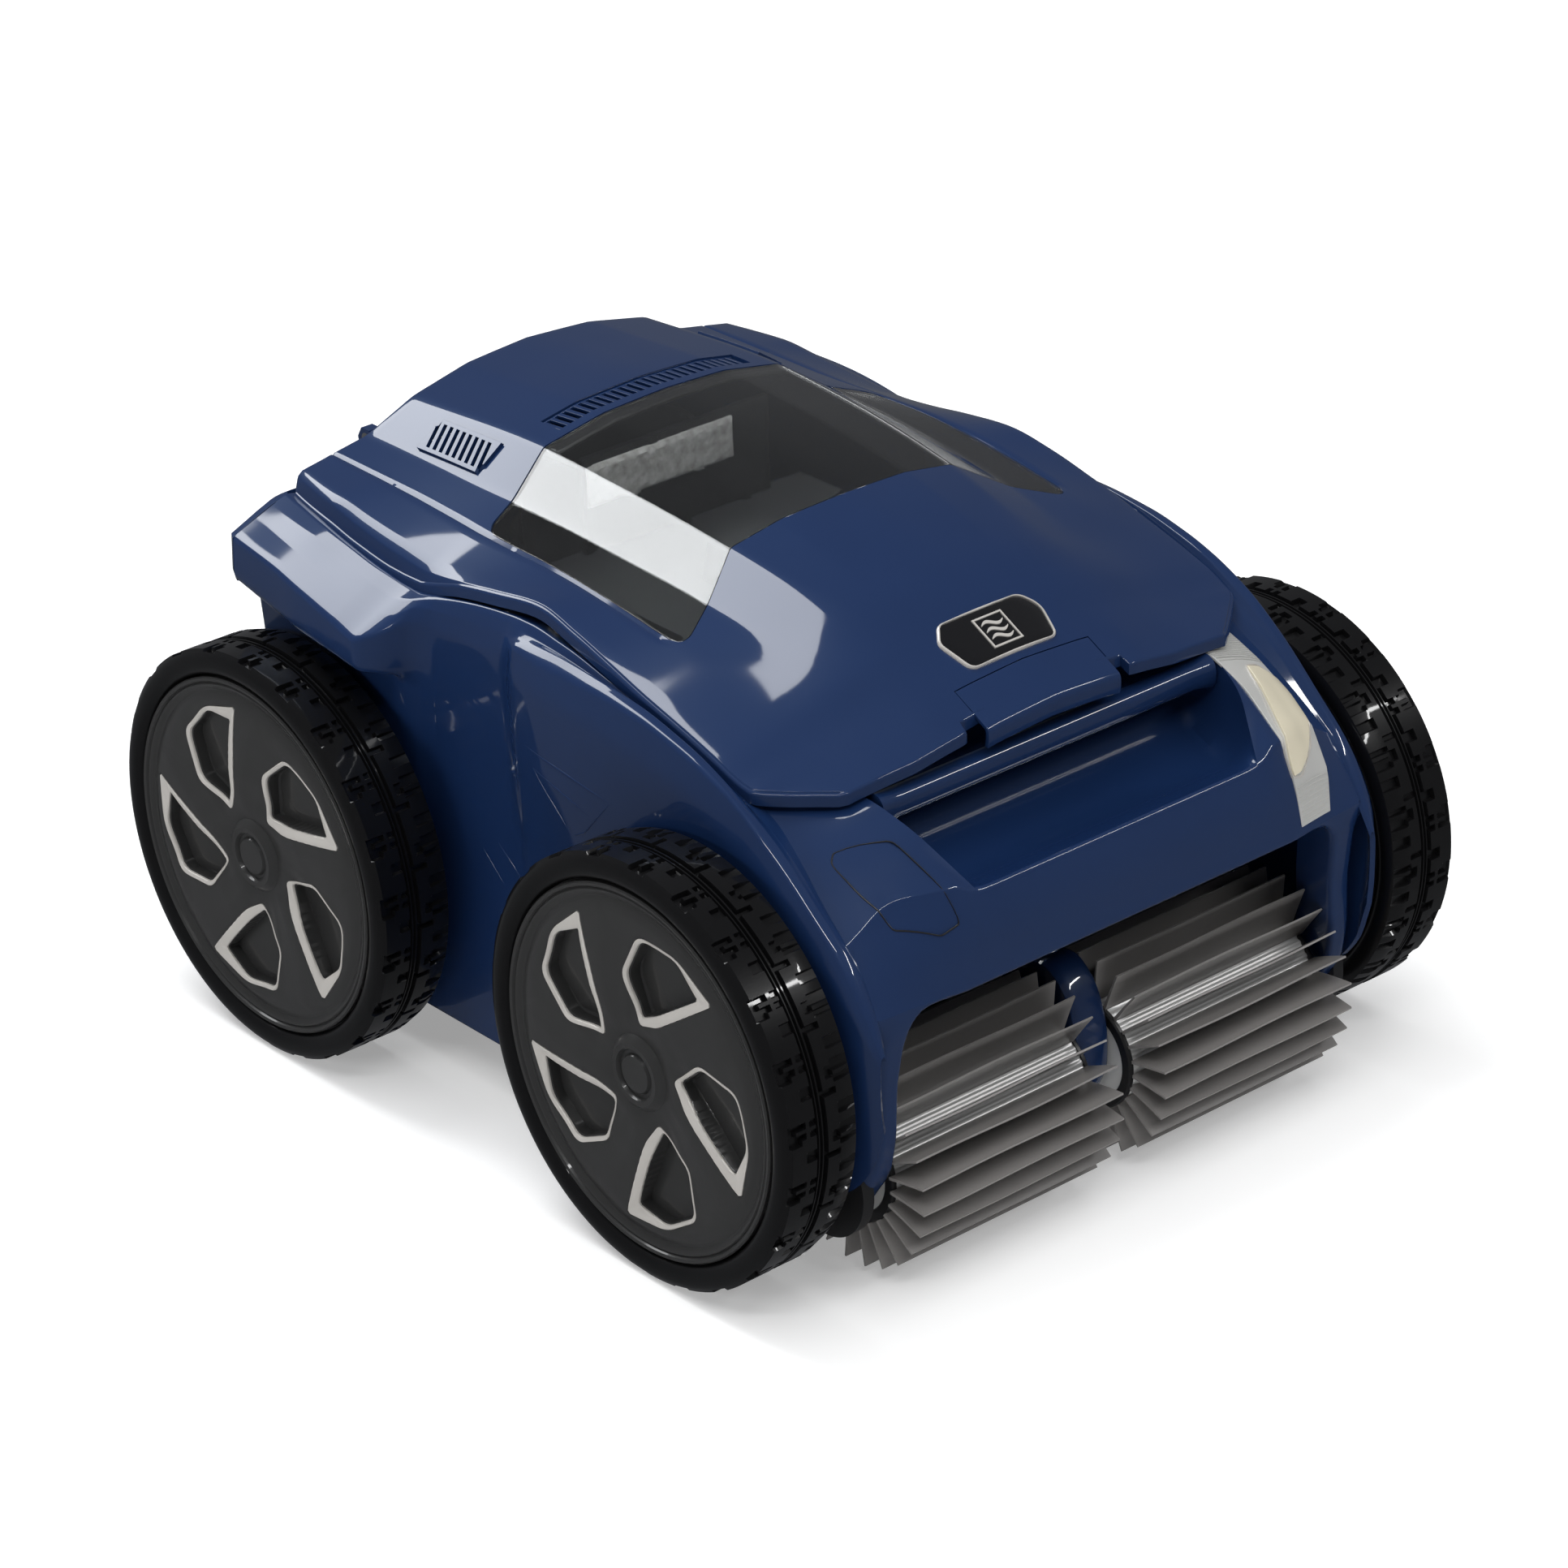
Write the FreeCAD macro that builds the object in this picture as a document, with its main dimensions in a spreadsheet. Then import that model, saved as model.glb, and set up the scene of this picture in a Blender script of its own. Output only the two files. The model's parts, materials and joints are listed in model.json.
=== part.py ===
import FreeCAD, Part
import math
import os

import Sketcher
from FreeCAD import Placement, Rotation, Vector

# Robotic pool cleaner. +X is its right, the brushes face -Y and +Z is up. The origin is on the
# floor under the middle of the body, halfway between the front and the rear axles.
DRIVING = {
    "overall_width": 409,
    "wheel_radius": 101,
    "half_wheelbase": 139,
    "tyre_width": 41.4,
    "rim_radius": 88,
    "axle_radius": 6,
    "running_gap": 0.06,
    "gear_module": 2,
    "ring_teeth": 66,
    "pinion_teeth": 12,
    "shaft_radius": 4,
    "pulley_radius": 11,
    "belt_thickness": 1.6,
    "brush_reach": 197.5,
    "brush_height": 51,
    "brush_tip_radius": 48,
    "brush_core_radius": 26,
    "brush_inner_end": 12.5,
    "brush_outer_end": 133,
    "brush_blades": 24,
    "blade_thickness": 1.4,
    "side_wall": 150,
    "base_low": 22,
    "base_thickness": 4,
    "shell_wall": 3,
    "lid_wall": 2.5,
    "hinge_reach": 190,
    "hinge_height": 262,
    "hinge_pin_radius": 3,
    "basket_half_width": 80,
    "basket_low": 70,
    "basket_high": 228,
    "basket_front": -58,
    "basket_rear": 60,
    "pump_reach": 115,
    "impeller_radius": 38,
    "gland_height": 190,
    "gland_radius": 9,
    "cable_radius": 4,
}

SIDES = (("left", -1), ("right", 1))
ENDS = (("front", -1), ("rear", 1))

doc = FreeCAD.newDocument("PoolCleaner")
sheet = doc.addObject("Spreadsheet::Sheet", "Size")
for line, (alias, number) in enumerate(DRIVING.items(), start=1):
    sheet.set(f"A{line}", alias)
    sheet.set(f"B{line}", str(number))
    sheet.setAlias(f"B{line}", alias)
doc.recompute()

pieces = []


# ---------------------------------------------------------------- sizes and bindings

def value(formula):
    """The number that a plain number or a formula in the sheet's names stands for."""
    if isinstance(formula, (int, float)):
        return float(formula)
    return float(sheet.evalExpression(formula))


def bind(thing, prop, formula):
    """Ties a property to the sheet if it is given as a formula, and sets it if it is a number."""
    if isinstance(formula, str):
        thing.setExpression(prop, formula)
        return
    names = prop.split(".")
    if len(names) == 1:
        setattr(thing, prop, formula)
        return
    place = thing.getPropertyByName(names[0])
    setattr(place.Base, names[2], formula)
    setattr(thing, names[0], place)


def keep(piece, label):
    """Names a finished sub-part."""
    piece.Label = label
    pieces.append(piece)
    return piece


# ---------------------------------------------------------------- sketches and features

def new_body(label, kept=True):
    body = doc.addObject("PartDesign::Body", label)
    return keep(body, label) if kept else body


def new_sketch(body, role, offset):
    """A sketch on one of the body's own planes, moved along the plane's normal."""
    plane = next(item for item in body.Origin.OriginFeatures if item.Role == role)
    sketch = body.newObject("Sketcher::SketchObject", "Sketch")
    sketch.AttachmentSupport = [(plane, "")]
    sketch.MapMode = "FlatFace"
    bind(sketch, "AttachmentOffset.Base.z", offset)
    return sketch


def fix_points(sketch, anchors):
    """Places points (geometry, point number, x, y), each coordinate tied to its formula."""
    constraints = []
    formulas = []
    for geometry, number, across, up in anchors:
        for kind, coordinate in (("DistanceX", across), ("DistanceY", up)):
            constraints.append(
                Sketcher.Constraint(kind, -1, 1, geometry, number, value(coordinate)))
            formulas.append(coordinate)
    first = sketch.ConstraintCount
    sketch.addConstraint(constraints)
    for index, formula in enumerate(formulas, start=first):
        if isinstance(formula, str):
            sketch.setExpression(f"Constraints[{index}]", formula)


def add_outline(sketch, points):
    """A closed outline of straight lines through points given as pairs of formulas."""
    spots = [Vector(value(across), value(up), 0) for across, up in points]
    first = sketch.GeometryCount
    count = len(spots)
    sketch.addGeometry([Part.LineSegment(a, b) for a, b in zip(spots, spots[1:] + spots[:1])])
    sketch.addConstraint([
        Sketcher.Constraint("Coincident", first + i, 2, first + (i + 1) % count, 1)
        for i in range(count)])
    fix_points(sketch, [(first + i, 1, *point) for i, point in enumerate(points)])


def add_circle(sketch, across, up, radius):
    centre = Vector(value(across), value(up), 0)
    index = sketch.addGeometry(Part.Circle(centre, Vector(0, 0, 1), value(radius)))
    fix_points(sketch, [(index, 3, across, up)])
    size = sketch.addConstraint(Sketcher.Constraint("Radius", index, value(radius)))
    if isinstance(radius, str):
        sketch.setExpression(f"Constraints[{size}]", radius)


def draw(sketch, shape):
    """Draws a circle given as (across, up, radius), or an outline given as a list of points."""
    if isinstance(shape, tuple):
        add_circle(sketch, *shape)
    else:
        add_outline(sketch, shape)


def rectangle(low_across, low_up, high_across, high_up):
    return [(low_across, low_up), (high_across, low_up), (high_across, high_up),
            (low_across, high_up)]


def minus(formula):
    return f"-({formula})" if isinstance(formula, str) else -formula


def span(low, high):
    if isinstance(low, str) or isinstance(high, str):
        return f"({high}) - ({low})"
    return high - low


def add_slab(body, role, shapes, low, high):
    """Pads the drawn shapes from low to high along the axis across the plane."""
    offset = minus(high) if role == "XZ_Plane" else low
    sketch = new_sketch(body, role, offset)
    for shape in shapes:
        draw(sketch, shape)
    pad = body.newObject("PartDesign::Pad", "Pad")
    pad.Profile = sketch
    bind(pad, "Length", span(low, high))
    return pad


def cut_slab(body, role, shapes, low, high):
    """Pockets the drawn shapes from low to high along the axis across the plane."""
    offset = minus(low) if role == "XZ_Plane" else high
    sketch = new_sketch(body, role, offset)
    for shape in shapes:
        draw(sketch, shape)
    pocket = body.newObject("PartDesign::Pocket", "Pocket")
    pocket.Profile = sketch
    bind(pocket, "Length", span(low, high))
    return pocket


def add_turned(body, points):
    """Turns a profile of (radius, height) points about the body's Z axis."""
    sketch = new_sketch(body, "XZ_Plane", 0)
    add_outline(sketch, points)
    turned = body.newObject("PartDesign::Revolution", "Revolution")
    turned.Profile = sketch
    turned.ReferenceAxis = (sketch, ["V_Axis"])
    turned.Angle = 360
    return turned


def add_ring_pattern(body, feature, count):
    """Repeats a feature evenly about the body's Z axis."""
    axis = next(item for item in body.Origin.OriginFeatures if item.Role == "Z_Axis")
    pattern = body.newObject("PartDesign::PolarPattern", "PolarPattern")
    pattern.Originals = [feature]
    pattern.Axis = (axis, [""])
    pattern.Angle = 360
    bind(pattern, "Occurrences", count)
    body.Tip = pattern
    return pattern


def add_loft(body, role, stations):
    """A straight-sided loft through outlines at the given distances along the plane's axis."""
    sketches = []
    for place, points in stations:
        sketch = new_sketch(body, role, minus(place) if role == "XZ_Plane" else place)
        add_outline(sketch, points)
        sketches.append(sketch)
    loft = body.newObject("PartDesign::AdditiveLoft", "Loft")
    loft.Profile = sketches[0]
    loft.Sections = sketches[1:]
    loft.Ruled = True
    return loft


def place_on_axle(piece, sign, reach_x, reach_y, height):
    """Turns a piece made about Z so that its Z axis points outward along X."""
    piece.Placement = Placement(Vector(), Rotation(Vector(0, 0, 1), Vector(sign, 0, 0)))
    piece.setExpression("Placement.Base.x", f"{sign} * ({reach_x})")
    piece.setExpression("Placement.Base.y", str(reach_y))
    piece.setExpression("Placement.Base.z", str(height))


def feature(label, shape):
    """A sub-part whose shape comes straight from Part's functions."""
    piece = doc.addObject("Part::Feature", label)
    piece.Shape = shape
    return keep(piece, label)


def thicken(points, wall):
    """The points of an open outline followed by the same outline moved inward by the wall."""
    moved = []
    for i, (across, up) in enumerate(points):
        before = points[max(i - 1, 0)]
        after = points[min(i + 1, len(points) - 1)]
        arms = []
        for start, end in ((before, (across, up)), ((across, up), after)):
            run = (end[0] - start[0], end[1] - start[1])
            length = math.hypot(*run)
            if length > 0:
                arms.append((run[1] / length, -run[0] / length))
        normal = [sum(arm[k] for arm in arms) / len(arms) for k in (0, 1)]
        square = normal[0] ** 2 + normal[1] ** 2
        moved.append((across + wall * normal[0] / square, up + wall * normal[1] / square))
    return points + moved[::-1]


def mirrored(points):
    """A half outline from the centre outward, made into a whole one from left to right."""
    left = [(-across, up) for across, up in reversed(points) if across > 0]
    return left + points


# ---------------------------------------------------------------- wheels

AXLE_X = "Size.overall_width / 2 - Size.tyre_width"


def wheel_place(piece, sign, end_sign):
    """The wheel's own frame has Z outward from the tyre's inner face."""
    place_on_axle(piece, sign, AXLE_X, f"{end_sign} * Size.half_wheelbase", "Size.wheel_radius")


def make_tyre(name, sign, end_sign):
    """Rubber tyre: two tread bands either side of a shallow groove."""
    body = new_body(f"{name}_tyre")
    groove_radius = "Size.wheel_radius - 2.4"
    add_turned(body, [
        ("Size.rim_radius", 3), ("Size.wheel_radius - 4", 0), ("Size.wheel_radius", 3),
        ("Size.wheel_radius", 16), (groove_radius, 17), (groove_radius, 21),
        ("Size.wheel_radius", 22), ("Size.wheel_radius", "Size.tyre_width - 3"),
        ("Size.wheel_radius - 3", "Size.tyre_width"), ("Size.rim_radius + 3", "Size.tyre_width"),
        ("Size.rim_radius", "Size.tyre_width - 4")])
    wheel_place(body, sign, end_sign)


def gear_outline(teeth, module, tip_gain, root_gain, phase):
    """Trapezium teeth: radii are the pitch radius plus the two gains; phase turns the gear."""
    pitch_radius = teeth * module / 2
    tip = pitch_radius + tip_gain
    root = pitch_radius + root_gain
    points = []
    for tooth in range(teeth):
        centre = phase + 2 * math.pi * tooth / teeth
        for radius, share in ((root, -0.30), (tip, -0.13), (tip, 0.13), (root, 0.30)):
            angle = centre + share * 2 * math.pi / teeth
            points.append(Vector(radius * math.cos(angle), radius * math.sin(angle), 0))
    return Part.makePolygon(points + points[:1])


def make_rim(name, sign, end_sign):
    """Wheel body: barrel, web and hub in one, with the toothed ring that the pinion drives."""
    blank = new_body(f"{name}_rim_blank", kept=False)
    bore = "Size.axle_radius + Size.running_gap"
    barrel = "Size.rim_radius - 0.1"
    add_turned(blank, [
        (bore, 3), (13, 3), (13, 15), (70, 15), (70, 4), (74, 4), (74, 15),
        ("Size.rim_radius - 4", 15), ("Size.rim_radius - 4", 4), (barrel, 4), (barrel, 36),
        ("Size.rim_radius - 4", 36), ("Size.rim_radius - 4", 19), (13, 19), (13, 33), (bore, 33)])
    teeth = int(value("Size.ring_teeth"))
    module = value("Size.gear_module")
    toward_pinion = math.pi / 2 if end_sign * sign < 0 else -math.pi / 2
    inner = Part.Face(gear_outline(teeth, module, -1.5, 2.2, toward_pinion + math.pi / teeth))
    outer = Part.Face(Part.Wire(Part.makeCircle(70.5)))
    ring = doc.addObject("Part::Feature", f"{name}_ring_gear")
    ring.Shape = outer.cut(inner).extrude(Vector(0, 0, 9)).translated(Vector(0, 0, 4))
    rim = doc.addObject("Part::MultiFuse", f"{name}_rim")
    rim.Shapes = [blank, ring]
    keep(rim, f"{name}_rim")
    wheel_place(rim, sign, end_sign)


POCKETS = 5
POCKET_FLOOR = 34.4
POCKET_OUTLINE = ((68.5, -32.8), (31, -4.9), (23.1, 5.6), (41.8, 22.6), (66.6, 18.7), (74, -6))
# Angle in degrees of the first pocket in the wheel's own frame, as the wheels stand at rest.
POCKET_TURN = {-1: 53, 1: 29.5}


def turned_outline(points, angle):
    """An outline turned about the origin by an angle in degrees."""
    across, along = math.cos(math.radians(angle)), math.sin(math.radians(angle))
    return [(x * across - y * along, x * along + y * across) for x, y in points]


def make_wheel_cover(name, sign, end_sign):
    """Dished cover with five sunk pockets round the hub and a flange over the rim's barrel."""
    body = new_body(f"{name}_wheel_cover")
    barrel = "Size.rim_radius - 4.2"
    flange = "Size.rim_radius - 0.5"
    add_turned(body, [
        (0, 36.6), (14.5, 36.6), (14.5, 32.4), ("Size.rim_radius - 10", 32.4), (barrel, 33.4),
        (barrel, 36.4), (flange, 36.4), (flange, 39.2), ("Size.rim_radius - 5", 38.8),
        ("Size.rim_radius - 7.4", 37.4), ("Size.rim_radius - 11", 39.2), (18, 38.6), (15, 40),
        (0, 40)])
    outline = turned_outline(POCKET_OUTLINE, POCKET_TURN[end_sign])
    pocket = cut_slab(body, "XY_Plane", [outline], POCKET_FLOOR, 41)
    add_ring_pattern(body, pocket, POCKETS)
    wheel_place(body, sign, end_sign)


def make_wheels():
    for side, sign in SIDES:
        for end, end_sign in ENDS:
            name = f"{end}_{side}"
            make_tyre(name, sign, end_sign)
            make_rim(name, sign, end_sign)
            make_wheel_cover(name, sign, end_sign)


def make_axles():
    """Four stub axles, each with a flange against the inside of the body's wall."""
    stubs = []
    inner = value("Size.side_wall") - value("Size.shell_wall") - 4
    outer = value(AXLE_X) + 33
    radius = value("Size.axle_radius")
    for _, sign in SIDES:
        for _, end_sign in ENDS:
            centre = Vector(sign * inner, end_sign * value("Size.half_wheelbase"),
                            value("Size.wheel_radius"))
            outward = Vector(sign, 0, 0)
            shaft = Part.makeCylinder(radius, outer - inner, centre, outward)
            flange = Part.makeCylinder(radius + 6, 3.5, centre, outward)
            stubs.append(shaft.fuse(flange).removeSplitter())
    feature("wheel_axles", Part.makeCompound(stubs))


def make_wheel_screws():
    """A broad-headed screw on the end of each axle, which keeps the wheel on."""
    screws = []
    start = value(AXLE_X) + 33.1
    for _, sign in SIDES:
        for _, end_sign in ENDS:
            centre = Vector(sign * start, end_sign * value("Size.half_wheelbase"),
                            value("Size.wheel_radius"))
            screws.append(Part.makeCylinder(9, 2.4, centre, Vector(sign, 0, 0)))
    feature("wheel_screws", Part.makeCompound(screws))


# ---------------------------------------------------------------- drive

PINION_OFFSET = "Size.gear_module * (Size.ring_teeth - Size.pinion_teeth) / 2"
WHEEL_BELT_X = (142.5, 146.5)
BRUSH_BELT_X = (137.5, 141.5)
PINION_X = (167.6, 175.6)


def pinion_axis_y(end_sign):
    return end_sign * (value("Size.half_wheelbase") - value(PINION_OFFSET))


def make_pinion(name, side_sign, end_sign):
    """Pinion, shaft and belt pulleys in one; the front one takes the brush belt as well."""
    teeth = int(value("Size.pinion_teeth"))
    module = value("Size.gear_module")
    toward_rim = math.pi / 2 if end_sign * side_sign < 0 else -math.pi / 2
    outline = gear_outline(teeth, module, 1.5, -2.2, toward_rim)
    start = 113 if end_sign < 0 else 138
    shaft_length = PINION_X[1] - start
    gear = Part.Face(outline).extrude(Vector(0, 0, PINION_X[1] - PINION_X[0]))
    gear.translate(Vector(0, 0, PINION_X[0] - start))
    solid = Part.makeCylinder(value("Size.shaft_radius"), shaft_length).fuse(gear)
    belts = (WHEEL_BELT_X, BRUSH_BELT_X) if end_sign < 0 else (WHEEL_BELT_X,)
    for low, high in belts:
        wheel = Part.makeCylinder(value("Size.pulley_radius"), high - low,
                                  Vector(0, 0, low - start))
        solid = solid.fuse(wheel)
    piece = feature(f"{name}_drive_pinion", solid.removeSplitter())
    place_on_axle(piece, side_sign, start, pinion_axis_y(end_sign), "Size.wheel_radius")


def belt_loop(first, second, radius, thickness, low, high):
    """A belt round two equal pulleys whose centres are given as (y, z)."""
    run = Vector(0, second[0] - first[0], second[1] - first[1])
    side = Vector(0, -run.z, run.y).normalize()
    start = Vector(low, *first)

    def wire(size):
        ahead = Vector(run).normalize() * size
        across = side * size
        corners = [start + across, start + run + across, start + run - across, start - across]
        return Part.Wire([
            Part.LineSegment(corners[0], corners[1]).toShape(),
            Part.Arc(corners[1], start + run + ahead, corners[2]).toShape(),
            Part.LineSegment(corners[2], corners[3]).toShape(),
            Part.Arc(corners[3], start - ahead, corners[0]).toShape()])

    outer = Part.Face(wire(radius + thickness))
    inner = Part.Face(wire(radius))
    return outer.cut(inner).extrude(Vector(high - low, 0, 0))


def make_drive():
    radius = value("Size.pulley_radius") + 0.4
    thickness = value("Size.belt_thickness")
    height = value("Size.wheel_radius")
    front = (pinion_axis_y(-1), height)
    rear = (pinion_axis_y(1), height)
    brush = (-value("Size.brush_reach"), value("Size.brush_height"))
    for side, sign in SIDES:
        for end, end_sign in ENDS:
            make_pinion(f"{end}_{side}", sign, end_sign)
        for name, second, (low, high) in (("wheel_belt", rear, WHEEL_BELT_X),
                                          ("brush_belt", brush, BRUSH_BELT_X)):
            start, stop = (low, high) if sign > 0 else (-high, -low)
            feature(f"{side}_{name}", belt_loop(front, second, radius, thickness, start, stop))
        make_drive_motor(side, sign)


def make_drive_motor(side, sign):
    """Gear motor on the front pinion's shaft: a can and a stepped nose with the shaft's bore."""
    body = new_body(f"{side}_drive_motor")
    bore = "Size.shaft_radius + Size.running_gap"
    add_turned(body, [(0, 0), (19, 0), (20, 1), (20, 34), (12, 34), (12, 42), (bore, 42),
                      (bore, 35), (0, 35)])
    place_on_axle(body, sign, 76, pinion_axis_y(-1), "Size.wheel_radius")


# ---------------------------------------------------------------- brushes

BRUSH_PLACE = ("-Size.brush_reach", "Size.brush_height")
BRUSH_PIN_RADIUS = 5
BRUSH_PIN_REACH = 6


def make_brush_core(side, sign):
    """Brush tube with closed ends, a pivot pin at each end and the belt pulley outside."""
    body = new_body(f"{side}_brush_core")
    inner = value("Size.brush_inner_end")
    pin = BRUSH_PIN_RADIUS
    length = "Size.brush_outer_end - Size.brush_inner_end"
    pulley_low = BRUSH_BELT_X[0] - inner
    pulley_high = BRUSH_BELT_X[1] - inner
    add_turned(body, [
        (0, -BRUSH_PIN_REACH), (pin, -BRUSH_PIN_REACH), (pin, 0), ("Size.brush_core_radius", 0),
        ("Size.brush_core_radius", length), (pin, length), (pin, pulley_low),
        ("Size.pulley_radius", pulley_low), ("Size.pulley_radius", pulley_high),
        (pin, pulley_high), (pin, pulley_high + BRUSH_PIN_REACH),
        (0, pulley_high + BRUSH_PIN_REACH),
        (0, f"{length} - 3"), ("Size.brush_core_radius - 3", f"{length} - 3"),
        ("Size.brush_core_radius - 3", 3), (0, 3)])
    place_on_axle(body, sign, "Size.brush_inner_end", *BRUSH_PLACE)


def make_brush_blades(side, sign):
    """Rubber sleeve on the core with straight radial blades."""
    body = new_body(f"{side}_brush_blades")
    sleeve_inner = "Size.brush_core_radius + 0.05"
    length = "Size.brush_outer_end - Size.brush_inner_end"
    add_turned(body, [(sleeve_inner, 0.2), ("Size.brush_core_radius + 1.5", 0.2),
                      ("Size.brush_core_radius + 1.5", length), (sleeve_inner, length)])
    half = "Size.blade_thickness / 2"
    blade = add_slab(body, "XY_Plane", [rectangle(
        "Size.brush_core_radius + 0.8", minus(half), "Size.brush_tip_radius", half)], 0.2, length)
    add_ring_pattern(body, blade, "Size.brush_blades")
    place_on_axle(body, sign, "Size.brush_inner_end", *BRUSH_PLACE)


def make_brush_cover(side, sign):
    """Black end cover round the brush's outer pivot, which shows below the body's skirt."""
    body = new_body(f"{side}_brush_cover")
    bore = f"{BRUSH_PIN_RADIUS} + Size.running_gap"
    add_turned(body, [(bore, 0.5), (10, 0.5), (10, 3), (23, 3), (23, 0.2), (27, 0.2), (27, 6.5),
                      (bore, 6.5)])
    place_on_axle(body, sign, BRUSH_BELT_X[1] + 0.6, *BRUSH_PLACE)


def make_brush_strut():
    """Blue strut between the two brushes, which carries their inner pivots."""
    body = new_body("brush_strut")
    reach = value("Size.brush_reach")
    height = value("Size.brush_height")
    add_slab(body, "YZ_Plane", [
        [(-142.6, 52), (-148.6, 83), (-179, 101), (-195, 103), (-208, 92), (-214, height),
         (-206, 34), (-190, 34), (-180, 46)]], -10, 10)
    bore = f"{BRUSH_PIN_RADIUS} + Size.running_gap"
    cut_slab(body, "YZ_Plane", [(-reach, height, bore)], -11, 11)


def make_brushes():
    for side, sign in SIDES:
        make_brush_core(side, sign)
        make_brush_blades(side, sign)
        make_brush_cover(side, sign)
    make_brush_strut()


# ---------------------------------------------------------------- body shells

# Feature lines of the hood's right half at each station along Y: the crown's centre and
# quarter, the ridge, the foot of the chamfer, the window's lower edge and the lid's edge.
LID_STATIONS = (
    (184, ((0, 293), (36, 291), (70, 284), (95, 270), (110, 264), (129, 258))),
    (147, ((0, 295), (36, 293), (70, 286), (95, 271), (111, 265), (138, 258))),
    (123, ((0, 296), (36, 294), (71, 287), (95, 271), (112, 265), (142, 253))),
    (84, ((0, 298), (36, 296), (71, 289), (95, 272), (115, 266), (146, 244))),
    (60, ((0, 297), (36, 295), (71, 288), (95, 272), (116, 267), (147, 252))),
    (27, ((0, 295), (36, 293), (70, 286), (95, 271), (115, 263), (143, 259))),
    (-8, ((0, 291), (36, 289), (70, 282), (94, 268), (114, 259), (139, 259))),
    (-51, ((0, 285), (36, 283), (66, 276), (92, 264), (113, 256), (144, 248))),
    (-78, ((0, 279), (34, 277), (63, 271), (90, 260), (113, 253), (146, 244))),
    (-112, ((0, 269), (34, 267), (60, 263), (85, 253), (110, 246), (146, 236))),
    (-136, ((0, 257), (34, 255), (58, 253), (80, 246), (105, 239), (145, 229))),
    (-152, ((0, 249), (34, 247), (58, 244), (78, 238), (104, 232), (144, 221))),
    (-163, ((0, 243), (34, 241), (56, 236), (74, 231), (96, 226), (118, 220))),
    (-169, ((0, 237), (34, 235), (50, 228), (66, 224), (86, 221), (108, 219))),
    (-177, ((0, 226), (34, 225), (40, 224), (46, 222), (52, 220), (58, 218))),
)


def lid_section(half, wall):
    return thicken(mirrored(list(half)), wall)


def primitive_box(name, low, high):
    box = doc.addObject("Part::Box", name)
    for prop, axis in (("Length", 0), ("Width", 1), ("Height", 2)):
        bind(box, prop, span(low[axis], high[axis]))
    for axis, start in zip("xyz", low):
        bind(box, f"Placement.Base.{axis}", start)
    return box


def joined(name, shapes):
    fuse = doc.addObject("Part::MultiFuse", name)
    fuse.Shapes = shapes
    return fuse


def boolean(kind, name, base, tool):
    """A Part::Cut or Part::Common of two objects."""
    result = doc.addObject(f"Part::{kind}", name)
    result.Base = base
    result.Tool = tool
    return result


# Openings in the hood: name, then lowest and highest corner.
WINDOW_HOLE = ((-114, -54, 240), (114, 70, 320))
TOP_VENT_HOLE = ((-56, 76, 285), (56, 90, 320))
SIDE_VENT_HOLES = (((-92, 94, 262), (-76, 142, 300)), ((76, 94, 262), (92, 142, 300)))
LATCH_HOLE = ((-44, -182, 200), (44, -162, 236))
SEAM = 0.3


def shrunk(hole, gap):
    low, high = hole
    return tuple(v + gap for v in low), tuple(v - gap for v in high)


def make_hood():
    """The hood's whole band, from which the lid, window, vents and latch are cut."""
    wall = value("Size.lid_wall")
    body = new_body("hood_blank", kept=False)
    add_loft(body, "XZ_Plane", [(y, lid_section(half, wall)) for y, half in LID_STATIONS])
    return body


def make_lid_shell(hood):
    """Hinged hood with a rear wall, hinge knuckles, and holes for window, vents and latch."""
    holes = [primitive_box("hole", *hole)
             for hole in (WINDOW_HOLE, TOP_VENT_HOLE, *SIDE_VENT_HOLES, LATCH_HOLE)]
    skin = boolean("Cut", "hood_with_holes", hood, joined("lid_holes", holes))
    back = new_body("hood_back", kept=False)
    rear = mirrored([(x - 1 if x else x, z - 1) for x, z in LID_STATIONS[0][1]])
    add_slab(back, "XZ_Plane", [rear], 181, 183.9)
    for _, sign in SIDES:
        low, high = sorted((sign * 60, sign * 80))
        knuckle = [(182, 262), ("Size.hinge_reach - 4", "Size.hinge_height - 5"),
                   ("Size.hinge_reach + 3", "Size.hinge_height - 5"),
                   ("Size.hinge_reach + 6", "Size.hinge_height"),
                   ("Size.hinge_reach + 3", "Size.hinge_height + 5"), (182, 274)]
        add_slab(back, "YZ_Plane", [knuckle], low, high)
        bore = ("Size.hinge_reach", "Size.hinge_height",
                "Size.hinge_pin_radius + Size.running_gap")
        cut_slab(back, "YZ_Plane", [bore], low - 1, high + 1)
    keep(joined("lid_shell", [skin, back]), "lid_shell")


def make_window(hood):
    """Clear window that wraps over the hood and down both sides."""
    pane = primitive_box("pane", *shrunk(WINDOW_HOLE, SEAM))
    keep(boolean("Common", "lid_window", hood, pane), "lid_window")


def make_vent(hood, name, hole, slots):
    """A grille flush with the hood, with slots across it."""
    plug = primitive_box("plug", *shrunk(hole, SEAM))
    bars = boolean("Cut", "bars", plug, joined("slots", slots))
    keep(boolean("Common", name, hood, bars), name)


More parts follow.
